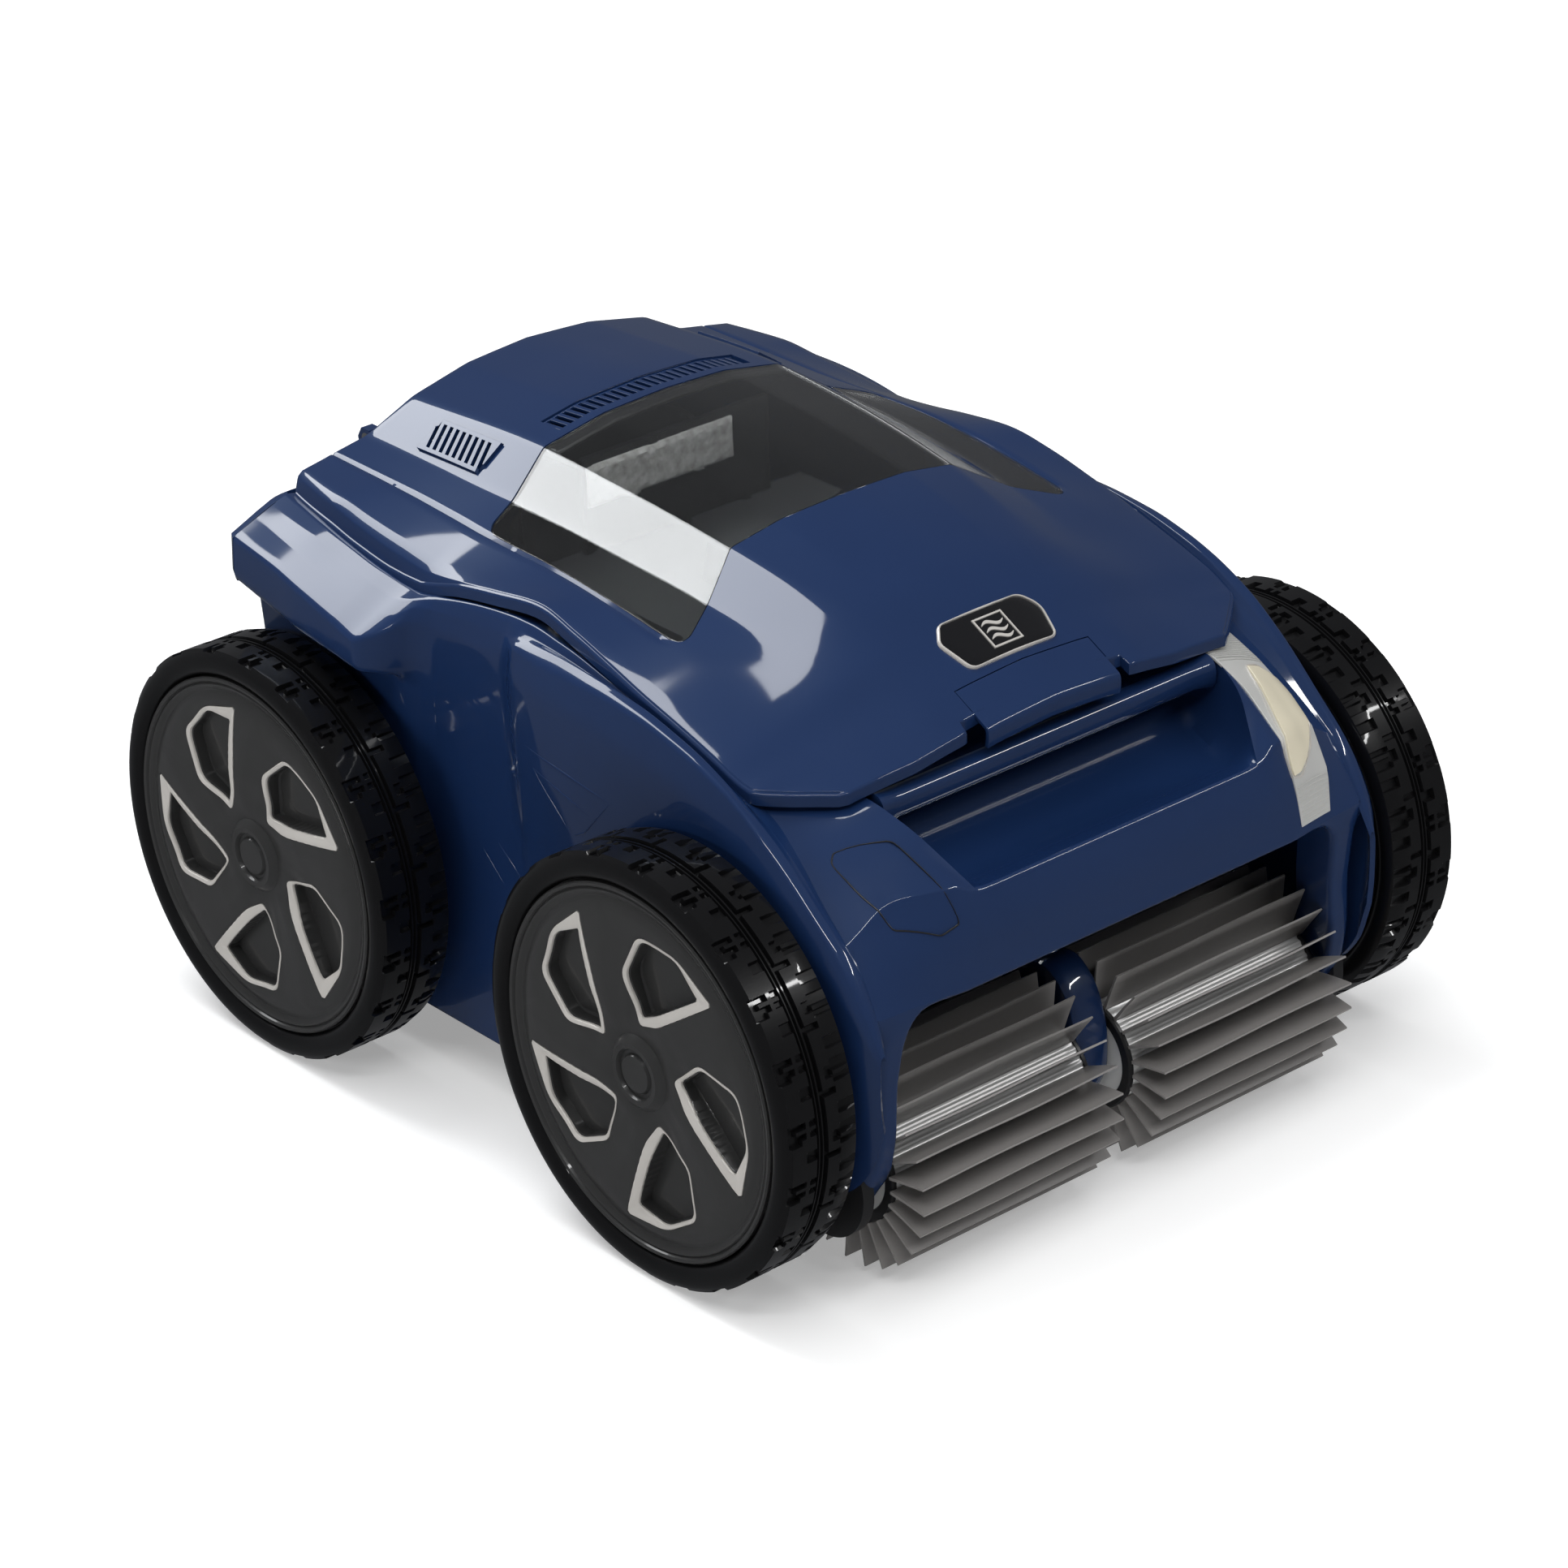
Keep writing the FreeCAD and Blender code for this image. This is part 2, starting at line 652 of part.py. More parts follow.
def make_vents(hood):
    (low_x, low_y, low_z), (high_x, high_y, high_z) = TOP_VENT_HOLE
    count = 16
    pitch = (high_x - low_x - 6) / count
    slots = [primitive_box("slot", (low_x + 4 + pitch * i, low_y + 3, low_z),
                           (low_x + 2 + pitch * (i + 1), high_y - 3, high_z))
             for i in range(count)]
    make_vent(hood, "top_vent", TOP_VENT_HOLE, slots)
    for (side, _), hole in zip(SIDES, SIDE_VENT_HOLES):
        (low_x, low_y, low_z), (high_x, high_y, high_z) = hole
        count = 9
        pitch = (high_y - low_y - 6) / count
        slots = [primitive_box("slot", (low_x + 3, low_y + 4 + pitch * i, low_z),
                               (high_x - 3, low_y + 2 + pitch * (i + 1), high_z))
                 for i in range(count)]
        make_vent(hood, f"{side}_vent", hole, slots)


def make_latch(hood):
    """Front tab of the lid, which swings outward to unhook from the body."""
    plug = primitive_box("latch_plug", *shrunk(LATCH_HOLE, 0.8))
    face = boolean("Common", "latch_face", hood, plug)
    hook = new_body("latch_hook", kept=False)
    add_slab(hook, "YZ_Plane", [[(-175, 227.4), (-171, 232.6), (-167.5, 233), (-165.5, 216),
                                 (-170, 216), (-170, 221)]], -14, 14)
    keep(joined("lid_latch", [face, hook]), "lid_latch")


def make_badge():
    """Plain six-sided plate in the middle of the hood's front slope."""
    body = new_body("lid_badge")
    add_slab(body, "XY_Plane", [[(-26, 12), (26, 12), (28, 3), (24, -13), (-24, -13),
                                 (-28, 3)]], 0, 1.6)
    slope = math.degrees(math.atan2(257 - 249, 16))
    body.Placement = Placement(Vector(0, -150, 252.2), Rotation(Vector(1, 0, 0), slope))


def make_lid():
    hood = make_hood()
    make_lid_shell(hood)
    make_window(hood)
    make_vents(hood)
    make_latch(hood)
    make_badge()


def make_hinge_pins():
    pins = []
    for _, sign in SIDES:
        centre = Vector(sign * 53, value("Size.hinge_reach"), value("Size.hinge_height"))
        pins.append(Part.makeCylinder(value("Size.hinge_pin_radius"), 34, centre,
                                      Vector(sign, 0, 0)))
    feature("hinge_pins", Part.makeCompound(pins))


# Right side shell: at each station along Y, from the ledge under the lid's edge outward and
# down to the foot. The rear fender overhangs its wheel and the front fender stands proud.
SIDE_STATIONS = (
    (184, ((116, 252), (128, 253), (170, 239), (171, 217), (158, 214), (150, 120), (150, 26))),
    (143, ((128, 251), (139, 252), (177, 240), (178, 216), (160, 214), (151, 120), (150, 26))),
    (100, ((134, 240), (144, 242), (176, 231), (177, 214), (160, 210), (152, 120), (150, 26))),
    (70, ((136, 238), (146, 240), (159, 222), (158, 205), (154, 190), (150, 120), (150, 26))),
    (20, ((134, 247), (144, 250), (152, 232), (151, 210), (151, 190), (150, 120), (150, 26))),
    (-30, ((132, 245), (146, 249), (156, 240), (158, 215), (158, 185), (153, 120), (150, 26))),
    (-90, ((136, 232), (147, 236), (155, 242), (159, 222), (159, 190), (159, 120), (152, 26))),
    (-127, ((134, 222), (146, 227), (155, 233), (159, 215), (159, 190), (159, 120), (152, 26))),
    (-152, ((130, 212), (143, 216), (154, 220), (159, 202), (159, 180), (158, 120), (152, 26))),
)


def make_side_shell(side, sign):
    """Outer side wall with its fenders, bored for the axles and the drive shafts."""
    wall = value("Size.shell_wall")
    blank = new_body(f"{side}_side_blank", kept=False)
    stations = []
    for y, points in SIDE_STATIONS:
        band = thicken(list(points), wall)
        stations.append((y, [(sign * x, z) for x, z in band]))
    add_loft(blank, "XZ_Plane", stations)
    bores = []
    for _, end_sign in ENDS:
        for y, radius in ((end_sign * value("Size.half_wheelbase"),
                           value("Size.axle_radius") + 0.05),
                          (pinion_axis_y(end_sign), value("Size.shaft_radius") + 0.08)):
            bore = doc.addObject("Part::Cylinder", "bore")
            bore.Radius = radius
            bore.Height = 40
            place_on_axle(bore, sign, 130, y, "Size.wheel_radius")
            bores.append(bore)
    shell = boolean("Cut", f"{side}_side_shell", blank, joined("bores", bores))
    keep(shell, f"{side}_side_shell")


# The nose at three widths: YZ outline from under the lid's front edge, over the nose to the
# rim of the brush mouth, then back along the mouth's roof and down its rear wall.
MOUTH = ((-237, 140), (-214, 110), (-180, 106), (-147, 84), (-141, 50), (-143, 27))
NOSE_EDGE = ((-154, 214), (-186, 188), (-215, 172), (-227, 156), (-234, 143))
NOSE_LAMP = ((-158, 215), (-184, 205), (-214, 188), (-229, 165), (-236, 143))
NOSE_LIP = ((-160, 215), (-185, 214), (-214, 201), (-233, 172), (-239, 143))
RECESS = ((-160, 214), (-166, 190), (-182, 178), (-206, 172), (-229, 179), (-234, 172),
          (-239, 143))


def make_front_bumper():
    """Nose shell: two lamp shoulders, and between them the hand recess above the mouth."""
    wall = value("Size.shell_wall")
    parts = []
    for _, sign in SIDES:
        shoulder = new_body("nose_shoulder", kept=False)
        add_loft(shoulder, "YZ_Plane", [
            (sign * x, thicken(list(top + MOUTH), -wall))
            for x, top in ((97, NOSE_LIP), (125, NOSE_LAMP), (148, NOSE_EDGE))])
        cheek = new_body("nose_cheek", kept=False)
        low, high = sorted((sign * 96, sign * 99))
        add_slab(cheek, "YZ_Plane", [[(-160, 214.5), (-185, 213.5), (-214, 200.5), (-232.5, 171.5),
                                      (-238, 143), (-206, 169), (-180, 175), (-161, 190)]],
                 low, high)
        leg = new_body("nose_leg", kept=False)
        low, high = sorted((sign * 134, sign * 136.5))
        add_slab(leg, "YZ_Plane", [[(-141, 90), (-180, 112), (-216, 116), (-233, 143), (-222, 110),
                                    (-209, 68), (-203, 24), (-143, 27), (-141, 50)]], low, high)
        hole = (minus("Size.brush_reach"), "Size.brush_height",
                f"{BRUSH_PIN_RADIUS} + Size.running_gap")
        cut_slab(leg, "YZ_Plane", [hole], low - 1, high + 1)
        parts += [shoulder, cheek, leg]
    centre = new_body("nose_centre", kept=False)
    section = thicken(list(RECESS + MOUTH), -wall)
    add_loft(centre, "YZ_Plane", [(-97, section), (97, section)])
    slots = []
    for _, sign in SIDES:
        low, high = sorted((sign * (BRUSH_BELT_X[0] - 0.8), sign * (BRUSH_BELT_X[1] + 0.8)))
        slots.append(primitive_box("belt_slot", (low, -165, 40), (high, -130, 125)))
    nose = joined("nose", parts + [centre])
    bumper = boolean("Cut", "front_bumper", nose, joined("belt_slots", slots))
    keep(bumper, "front_bumper")


def make_handle_bar():
    """Rounded bar across the hand recess."""
    body = new_body("handle_bar")
    add_slab(body, "YZ_Plane", [(-180, 203, 7)], -95.8, 95.8)


def make_lamps():
    """A flush trim strip on each nose shoulder, with a lens let into it."""
    inner_edge = ((-174, 215.2), (-185, 214.8), (-214, 202.2), (-232, 174.5))
    outer_edge = ((-172, 211), (-184, 205), (-214, 188.3), (-227.5, 169))
    for side, sign in SIDES:
        strip = new_body(f"{side}_lamp_blank", kept=False)
        add_loft(strip, "YZ_Plane", [
            (sign * x, thicken(list(edge), 1.2))
            for x, edge in ((101, inner_edge), (127, outer_edge))])
        low, high = sorted((sign * 106, sign * 122))
        window = ((low, -222, 150), (high, -194, 230))
        hole = primitive_box("lamp_hole", *window)
        lens = primitive_box("lamp_plug", *shrunk(window, 0.2))
        label = f"{side}_lamp_strip"
        keep(boolean("Cut", label, strip, hole), label)
        label = f"{side}_lamp_lens"
        keep(boolean("Common", label, strip, lens), label)


def make_rear_cowl():
    """Rear wall, with the ears of the lid's hinge and a hole for the cable gland."""
    body = new_body("rear_cowl")
    add_slab(body, "XZ_Plane", [[(-146, 26), (146, 26), (146, 215), (156, 219), (156, 238),
                                 (122, 250), (-122, 250), (-156, 238), (-156, 219),
                                 (-146, 215)]], 184.5, 187.5)
    for _, sign in SIDES:
        for start, stop in ((53, 59.5), (80.5, 87)):
            low, high = sorted((sign * start, sign * stop))
            ear = [(186, 236), ("Size.hinge_reach + 3", 244),
                   ("Size.hinge_reach + 6", "Size.hinge_height"),
                   ("Size.hinge_reach + 3", "Size.hinge_height + 5"),
                   ("Size.hinge_reach - 3", "Size.hinge_height + 5"),
                   ("Size.hinge_reach - 5", "Size.hinge_height"), (186, 249)]
            add_slab(body, "YZ_Plane", [ear], low, high)
            bore = ("Size.hinge_reach", "Size.hinge_height", "Size.hinge_pin_radius + 0.02")
            cut_slab(body, "YZ_Plane", [bore], low - 1, high + 1)
    cut_slab(body, "XZ_Plane", [(0, "Size.gland_height", "Size.gland_radius + 0.05")], 184, 188)


def make_cable_gland():
    """Cable gland screwed through the rear wall."""
    body = new_body("cable_gland")
    bore = "Size.cable_radius"
    wide = "Size.gland_radius"
    add_turned(body, [(bore, -6), (wide, -6), (wide, 3.2), (14, 3.2), (14, 9), (10, 12), (8, 20),
                      (bore, 20)])
    body.Placement = Placement(Vector(0, 184.4, 0), Rotation(Vector(0, 0, 1), Vector(0, 1, 0)))
    body.setExpression("Placement.Base.z", "Size.gland_height")


# ---------------------------------------------------------------- inside

def make_base_plate():
    """Floor of the body, with the suction mouth, its lips and the duct up to the basket."""
    body = new_body("base_plate")
    top = "Size.base_low + Size.base_thickness"
    add_slab(body, "XY_Plane", [rectangle(-146, -138, 146, 183.5)], "Size.base_low", top)
    add_slab(body, "XY_Plane", [rectangle(-74, -44, 74, 0)], 12, "Size.base_low + 1")
    duct_top = "Size.basket_low - 0.1"
    add_slab(body, "XY_Plane", [rectangle(-71, -41, 71, -3)], f"{top} - 1", duct_top)
    cut_slab(body, "XY_Plane", [rectangle(-68, -38, 68, -6)], 10, duct_top)


def make_filter():
    """Basket for the debris, its felt panel, cover and handle, and the inlet's flap."""
    basket = new_body("filter_basket")
    wide = "Size.basket_half_width"
    front, rear = "Size.basket_front", "Size.basket_rear"
    add_slab(basket, "XY_Plane", [rectangle(minus(wide), front, wide, rear)], "Size.basket_low",
             "Size.basket_high")
    cut_slab(basket, "XY_Plane", [rectangle(f"2.5 - {wide}", f"{front} + 2.5", f"{wide} - 2.5",
                                            f"{rear} - 2.5")], "Size.basket_low + 2.5",
             "Size.basket_high + 1")
    cut_slab(basket, "XY_Plane", [rectangle(-66, -36, 66, -8)], 60, 80)
    cut_slab(basket, "XZ_Plane", [rectangle(-70, 90, 70, 210)], 50, 70)
    mesh = new_body("filter_mesh")
    add_slab(mesh, "XZ_Plane", [rectangle(-74, 86, 74, 214)], 55.6, 57.3)
    felt = new_body("filter_felt")
    add_slab(felt, "XZ_Plane", [rectangle(-56, "Size.basket_high + 3.4", 56, 280)], 60, 69)
    cover = new_body("filter_cover")
    add_slab(cover, "XY_Plane", [rectangle(-80, -58, 80, 70.5)], "Size.basket_high + 0.1",
             "Size.basket_high + 3.2")
    foot = "Size.basket_high + 3"
    add_slab(cover, "XZ_Plane", [[(-34, foot), (-30, foot), (-26, 244), (26, 244), (30, foot),
                                   (34, foot), (30, 249), (-30, 249)]], -8, 8)
    flap = new_body("inlet_flap")
    add_slab(flap, "XY_Plane", [rectangle(-69, -41, 69, -5)], "Size.basket_low + 2.8",
             "Size.basket_low + 4.6")
    add_slab(flap, "YZ_Plane", [(-41, "Size.basket_low + 5.4", 2)], -69, 69)


def make_pump():
    """Sealed pump motor under a round duct, with the impeller on the motor's shaft."""
    housing = new_body("motor_block")
    add_slab(housing, "XY_Plane", [rectangle(-62, 77, 62, 153)], 26.2, 150)
    cut_slab(housing, "XY_Plane", [(0, "Size.pump_reach", 30)], 40, 151)
    motor = new_body("pump_motor")
    bore = "Size.shaft_radius + Size.running_gap"
    add_turned(motor, [(0, 40.2), (29.5, 40.2), (29.5, 158), (12, 158), (12, 164), (bore, 164),
                       (bore, 140), (0, 140)])
    bind(motor, "Placement.Base.y", "Size.pump_reach")
    duct = new_body("pump_duct")
    inner = "Size.impeller_radius + 2"
    add_turned(duct, [(inner, 172), ("Size.impeller_radius + 5", 172),
                      ("Size.impeller_radius + 5", 262), (inner, 262)])
    bind(duct, "Placement.Base.y", "Size.pump_reach")
    impeller = new_body("impeller")
    add_turned(impeller, [(0, 142), ("Size.shaft_radius", 142), ("Size.shaft_radius", 176),
                          (11, 176), (11, 196), (5, 206), (0, 206)])
    blade = add_slab(impeller, "XY_Plane", [
        [(9, -1.2), ("Size.impeller_radius - 2", 6), ("Size.impeller_radius - 1", 8.4),
         (9, 1.6)]], 178, 194)
    add_ring_pattern(impeller, blade, 6)
    bind(impeller, "Placement.Base.y", "Size.pump_reach")


def make_base_screws():
    """Screws up through the base plate near its edges."""
    screws = []
    for x in (-130, 130):
        for y in (-120, -20, 60, 170):
            screws.append(Part.makeCylinder(4.5, 1.8, Vector(x, y, 20.1)))
    feature("base_screws", Part.makeCompound(screws))


# ---------------------------------------------------------------- build, check and write

def faults():
    """Every failed feature, pocket that cuts nothing, and bad shape, in words."""
    found = []
    for item in doc.Objects:
        if "Invalid" in item.State or "Error" in item.State:
            found.append(f"{item.Name} ({item.Label}): {item.State}")
        elif item.TypeId == "PartDesign::Pocket":
            removed = item.BaseFeature.Shape.Volume - item.Shape.Volume
            if removed < 0.5:
                found.append(f"{item.Name} cuts nothing")
    for piece in pieces:
        shape = piece.Shape
        if shape.isNull() or not shape.isValid() or shape.Volume < 1:
            found.append(f"{piece.Label}: bad shape")
    return found


def main():
    make_wheels()
    make_axles()
    make_wheel_screws()
    make_drive()
    make_brushes()
    make_lid()
    make_hinge_pins()
    for side, sign in SIDES:
        make_side_shell(side, sign)
    make_front_bumper()
    make_handle_bar()
    make_lamps()
    make_rear_cowl()
    make_cable_gland()
    make_base_plate()
    make_filter()
    make_pump()
    make_base_screws()
    doc.recompute()
    problems = faults()
    if problems:
        raise RuntimeError("\n".join(problems))
    os.makedirs("parts", exist_ok=True)
    for piece in pieces:
        piece.Shape.exportStep(f"parts/{piece.Label}.step")
    print(len(pieces), "sub-parts written")


main()
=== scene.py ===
import json
import math

import bmesh
import bpy
import numpy as np
from mathutils import Matrix, Vector


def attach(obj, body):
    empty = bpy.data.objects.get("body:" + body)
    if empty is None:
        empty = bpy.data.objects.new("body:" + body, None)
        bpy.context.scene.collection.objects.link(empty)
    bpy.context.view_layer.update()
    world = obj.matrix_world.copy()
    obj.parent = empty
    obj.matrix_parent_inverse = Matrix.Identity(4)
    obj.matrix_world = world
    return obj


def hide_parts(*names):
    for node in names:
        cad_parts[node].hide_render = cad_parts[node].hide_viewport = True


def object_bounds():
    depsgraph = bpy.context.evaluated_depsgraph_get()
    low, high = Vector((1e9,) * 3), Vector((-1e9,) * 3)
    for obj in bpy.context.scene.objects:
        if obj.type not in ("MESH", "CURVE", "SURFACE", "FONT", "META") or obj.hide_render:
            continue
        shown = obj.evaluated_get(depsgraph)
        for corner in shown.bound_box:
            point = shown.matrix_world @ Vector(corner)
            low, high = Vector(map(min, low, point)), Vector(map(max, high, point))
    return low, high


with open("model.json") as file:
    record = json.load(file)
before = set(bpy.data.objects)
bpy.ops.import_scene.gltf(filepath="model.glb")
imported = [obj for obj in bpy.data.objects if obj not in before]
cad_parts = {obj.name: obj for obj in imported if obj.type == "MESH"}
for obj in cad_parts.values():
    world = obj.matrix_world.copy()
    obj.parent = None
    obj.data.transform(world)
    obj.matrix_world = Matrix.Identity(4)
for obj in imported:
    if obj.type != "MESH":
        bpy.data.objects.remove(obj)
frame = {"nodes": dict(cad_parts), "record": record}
CAD_LOW, CAD_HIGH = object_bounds()
MM = 0.001

# ------------------------------------------------------------ camera, light and floor


def add_camera():
    """A long lens above the front left corner, a little off level."""
    azimuth, elevation, roll = (math.radians(v) for v in (-40.32, 26.79, -1.65))
    distance, lens = 2.4787, 121.62
    back = Vector(
        (
            math.sin(azimuth) * math.cos(elevation),
            -math.cos(azimuth) * math.cos(elevation),
            math.sin(elevation),
        )
    )
    level = Vector((0, 0, 1)).cross(back).normalized()
    upright = back.cross(level)
    right = level * math.cos(roll) + upright * math.sin(roll)
    up = upright * math.cos(roll) - level * math.sin(roll)
    target = Vector((0, 0, 0.1236))
    place = target + back * distance + right * 0.00321 - up * 0.0046
    data = bpy.data.cameras.new("camera")
    data.lens = lens
    data.sensor_width = 36
    camera = bpy.data.objects.new("camera", data)
    bpy.context.collection.objects.link(camera)
    camera.matrix_world = Matrix(
        (
            (right.x, up.x, back.x, place.x),
            (right.y, up.y, back.y, place.y),
            (right.z, up.z, back.z, place.z),
            (0, 0, 0, 1),
        )
    )
    bpy.context.scene.camera = camera


def add_softbox(name, place, target, size, power, colour=(1, 1, 1), mirrored=True):
    """A rectangular area light aimed at a point."""
    data = bpy.data.lights.new(name, "AREA")
    data.shape = "RECTANGLE"
    data.size, data.size_y = size
    data.energy = power
    data.color = colour
    light = bpy.data.objects.new(name, data)
    bpy.context.collection.objects.link(light)
    light.location = place
    aim = Vector(target) - Vector(place)
    light.rotation_euler = aim.to_track_quat("-Z", "Y").to_euler()
    light.visible_glossy = mirrored


def brighten_outwards(paper, shader):
    """Make the floor glow more away from the object, where no softbox reaches it."""
    links = paper.node_tree.links
    place = paper.node_tree.nodes.new("ShaderNodeTexCoord")
    reach = paper.node_tree.nodes.new("ShaderNodeVectorMath")
    reach.operation = "LENGTH"
    links.new(place.outputs["Object"], reach.inputs[0])
    glow = paper.node_tree.nodes.new("ShaderNodeMapRange")
    glow.inputs["From Min"].default_value = 1.0
    glow.inputs["From Max"].default_value = 3.0
    glow.inputs["To Min"].default_value = 0.32
    glow.inputs["To Max"].default_value = 1.0
    links.new(reach.outputs["Value"], glow.inputs["Value"])
    links.new(glow.outputs["Result"], shader.inputs["Emission Strength"])


def add_stage(name, made, material):
    """A mesh of the surroundings, which isn't part of the object."""
    mesh = bpy.data.meshes.new(name)
    made.to_mesh(mesh)
    made.free()
    mesh.materials.append(material)
    stage = bpy.data.objects.new(name, mesh)
    bpy.context.collection.objects.link(stage)
    stage.visible_glossy = False
    return stage


def add_floor():
    """Pale paper that isn't mirrored in the gloss."""
    paper = plastic("floor_paper", (0.8, 0.8, 0.8), 0.8, grain=0.0, vary=0.005)
    shader = paper.node_tree.nodes["Principled BSDF"]
    shader.inputs["Specular IOR Level"].default_value = 0
    shader.inputs["Emission Color"].default_value = (1, 1, 1, 1)
    brighten_outwards(paper, shader)
    grid = bmesh.new()
    bmesh.ops.create_grid(grid, x_segments=8, y_segments=8, size=8)
    add_stage("floor", grid, paper).location.z = CAD_LOW[2] - 0.0003


def add_backdrop():
    """A white dome far out, seen by the camera only, so a low view has no grey horizon."""
    white = bpy.data.materials.new("backdrop_white")
    white.use_nodes = True
    shader = white.node_tree.nodes["Principled BSDF"]
    shader.inputs["Base Color"].default_value = (0, 0, 0, 1)
    shader.inputs["Specular IOR Level"].default_value = 0
    shader.inputs["Emission Color"].default_value = (1, 1, 1, 1)
    shader.inputs["Emission Strength"].default_value = 1
    sphere = bmesh.new()
    bmesh.ops.create_icosphere(sphere, subdivisions=4, radius=9)
    dome = add_stage("backdrop", sphere, white)
    dome.visible_diffuse = False
    dome.visible_transmission = False
    dome.visible_shadow = False


def add_studio():
    """Dim surroundings, five softboxes, a pale floor and a white backdrop."""
    world = bpy.data.worlds.new("studio")
    bpy.context.scene.world = world
    world.use_nodes = True
    world.node_tree.nodes["Background"].inputs["Color"].default_value = (0.93, 0.95, 1, 1)
    world.node_tree.nodes["Background"].inputs["Strength"].default_value = 0.12
    centre = (0, 0, 0.15)
    add_softbox("back_box", (-0.27, 1.41, 2.2), centre, (0.95, 2.5), 42, (0.97, 0.985, 1))
    add_softbox("top_box", (-0.3, -0.4, 2.8), centre, (3, 3), 60, mirrored=False)
    add_softbox("front_strip", (1.3, -1.8, 1.75), centre, (1.5, 0.08), 13)
    add_softbox("side_box", (-2.2, 0.5, 0.75), centre, (1.3, 0.3), 12, mirrored=False)
    add_softbox("strip_box", (-0.9, -1.2, 2.0), centre, (1.5, 0.07), 9)
    add_floor()
    add_backdrop()


# ------------------------------------------------------------ materials


def plastic(
    name,
    colour,
    rough,
    grain=0.15,
    grain_size=0.0009,
    vary=0.06,
    metallic=0.0,
    coat=0.0,
    spread=0.05,
    shine=0.5,
):
    """Moulded plastic, rubber or metal: mottled colour, uneven gloss and a fine grain."""
    made = bpy.data.materials.new(name)
    made.use_nodes = True
    nodes, links = made.node_tree.nodes, made.node_tree.links
    shader = nodes["Principled BSDF"]
    shader.inputs["Metallic"].default_value = metallic
    shader.inputs["Coat Weight"].default_value = coat
    shader.inputs["Coat Roughness"].default_value = 0.05
    shader.inputs["Specular IOR Level"].default_value = shine
    where = nodes.new("ShaderNodeTexCoord")
    cloud = nodes.new("ShaderNodeTexNoise")
    cloud.inputs["Scale"].default_value = 28
    cloud.inputs["Detail"].default_value = 5
    links.new(where.outputs["Object"], cloud.inputs["Vector"])
    tint = nodes.new("ShaderNodeMix")
    tint.data_type = "RGBA"
    dark = [c * (1 - vary) for c in colour]
    light = [min(1, c * (1 + vary)) for c in colour]
    tint.inputs["A"].default_value = (*dark, 1)
    tint.inputs["B"].default_value = (*light, 1)
    links.new(cloud.outputs["Fac"], tint.inputs["Factor"])
    links.new(tint.outputs["Result"], shader.inputs["Base Color"])
    gloss = nodes.new("ShaderNodeMapRange")
    gloss.inputs["To Min"].default_value = max(0.02, rough - spread)
    gloss.inputs["To Max"].default_value = rough + spread
    links.new(cloud.outputs["Fac"], gloss.inputs["Value"])
    links.new(gloss.outputs["Result"], shader.inputs["Roughness"])
    if grain:
        fine = nodes.new("ShaderNodeTexNoise")
        fine.inputs["Scale"].default_value = 1 / grain_size
        fine.inputs["Detail"].default_value = 3
        links.new(where.outputs["Object"], fine.inputs["Vector"])
        bump = nodes.new("ShaderNodeBump")
        bump.inputs["Strength"].default_value = grain
        bump.inputs["Distance"].default_value = grain_size * 0.2
        links.new(fine.outputs["Fac"], bump.inputs["Height"])
        links.new(bump.outputs["Normal"], shader.inputs["Normal"])
    return made


def lacquer(name, colour):
    """Deep gloss paint: all the shine is in a bluish clear coat."""
    made = plastic(name, colour, 0.34, grain=0.02, vary=0.05, coat=1.0, spread=0.03)
    shader = made.node_tree.nodes["Principled BSDF"]
    shader.inputs["Specular IOR Level"].default_value = 0.12
    shader.inputs["Coat Tint"].default_value = (0.74, 0.86, 1, 1)
    shader.inputs["Coat IOR"].default_value = 1.6
    return made


def clear(name, colour):
    """Smoked clear plastic."""
    made = plastic(name, colour, 0.03, grain=0.02, vary=0.02, spread=0.01)
    shader = made.node_tree.nodes["Principled BSDF"]
    shader.inputs["Transmission Weight"].default_value = 1
    shader.inputs["Coat Weight"].default_value = 0.7
    shader.inputs["IOR"].default_value = 1.45
    return made


def fibre(name, colour, cell):
    """Felt or woven net: a pale speckle over deep small bumps."""
    made = plastic(name, colour, 0.9, grain=0.9, grain_size=cell, vary=0.75, spread=0.05)
    made.node_tree.nodes["Noise Texture"].inputs["Scale"].default_value = 0.8 / cell
    return made


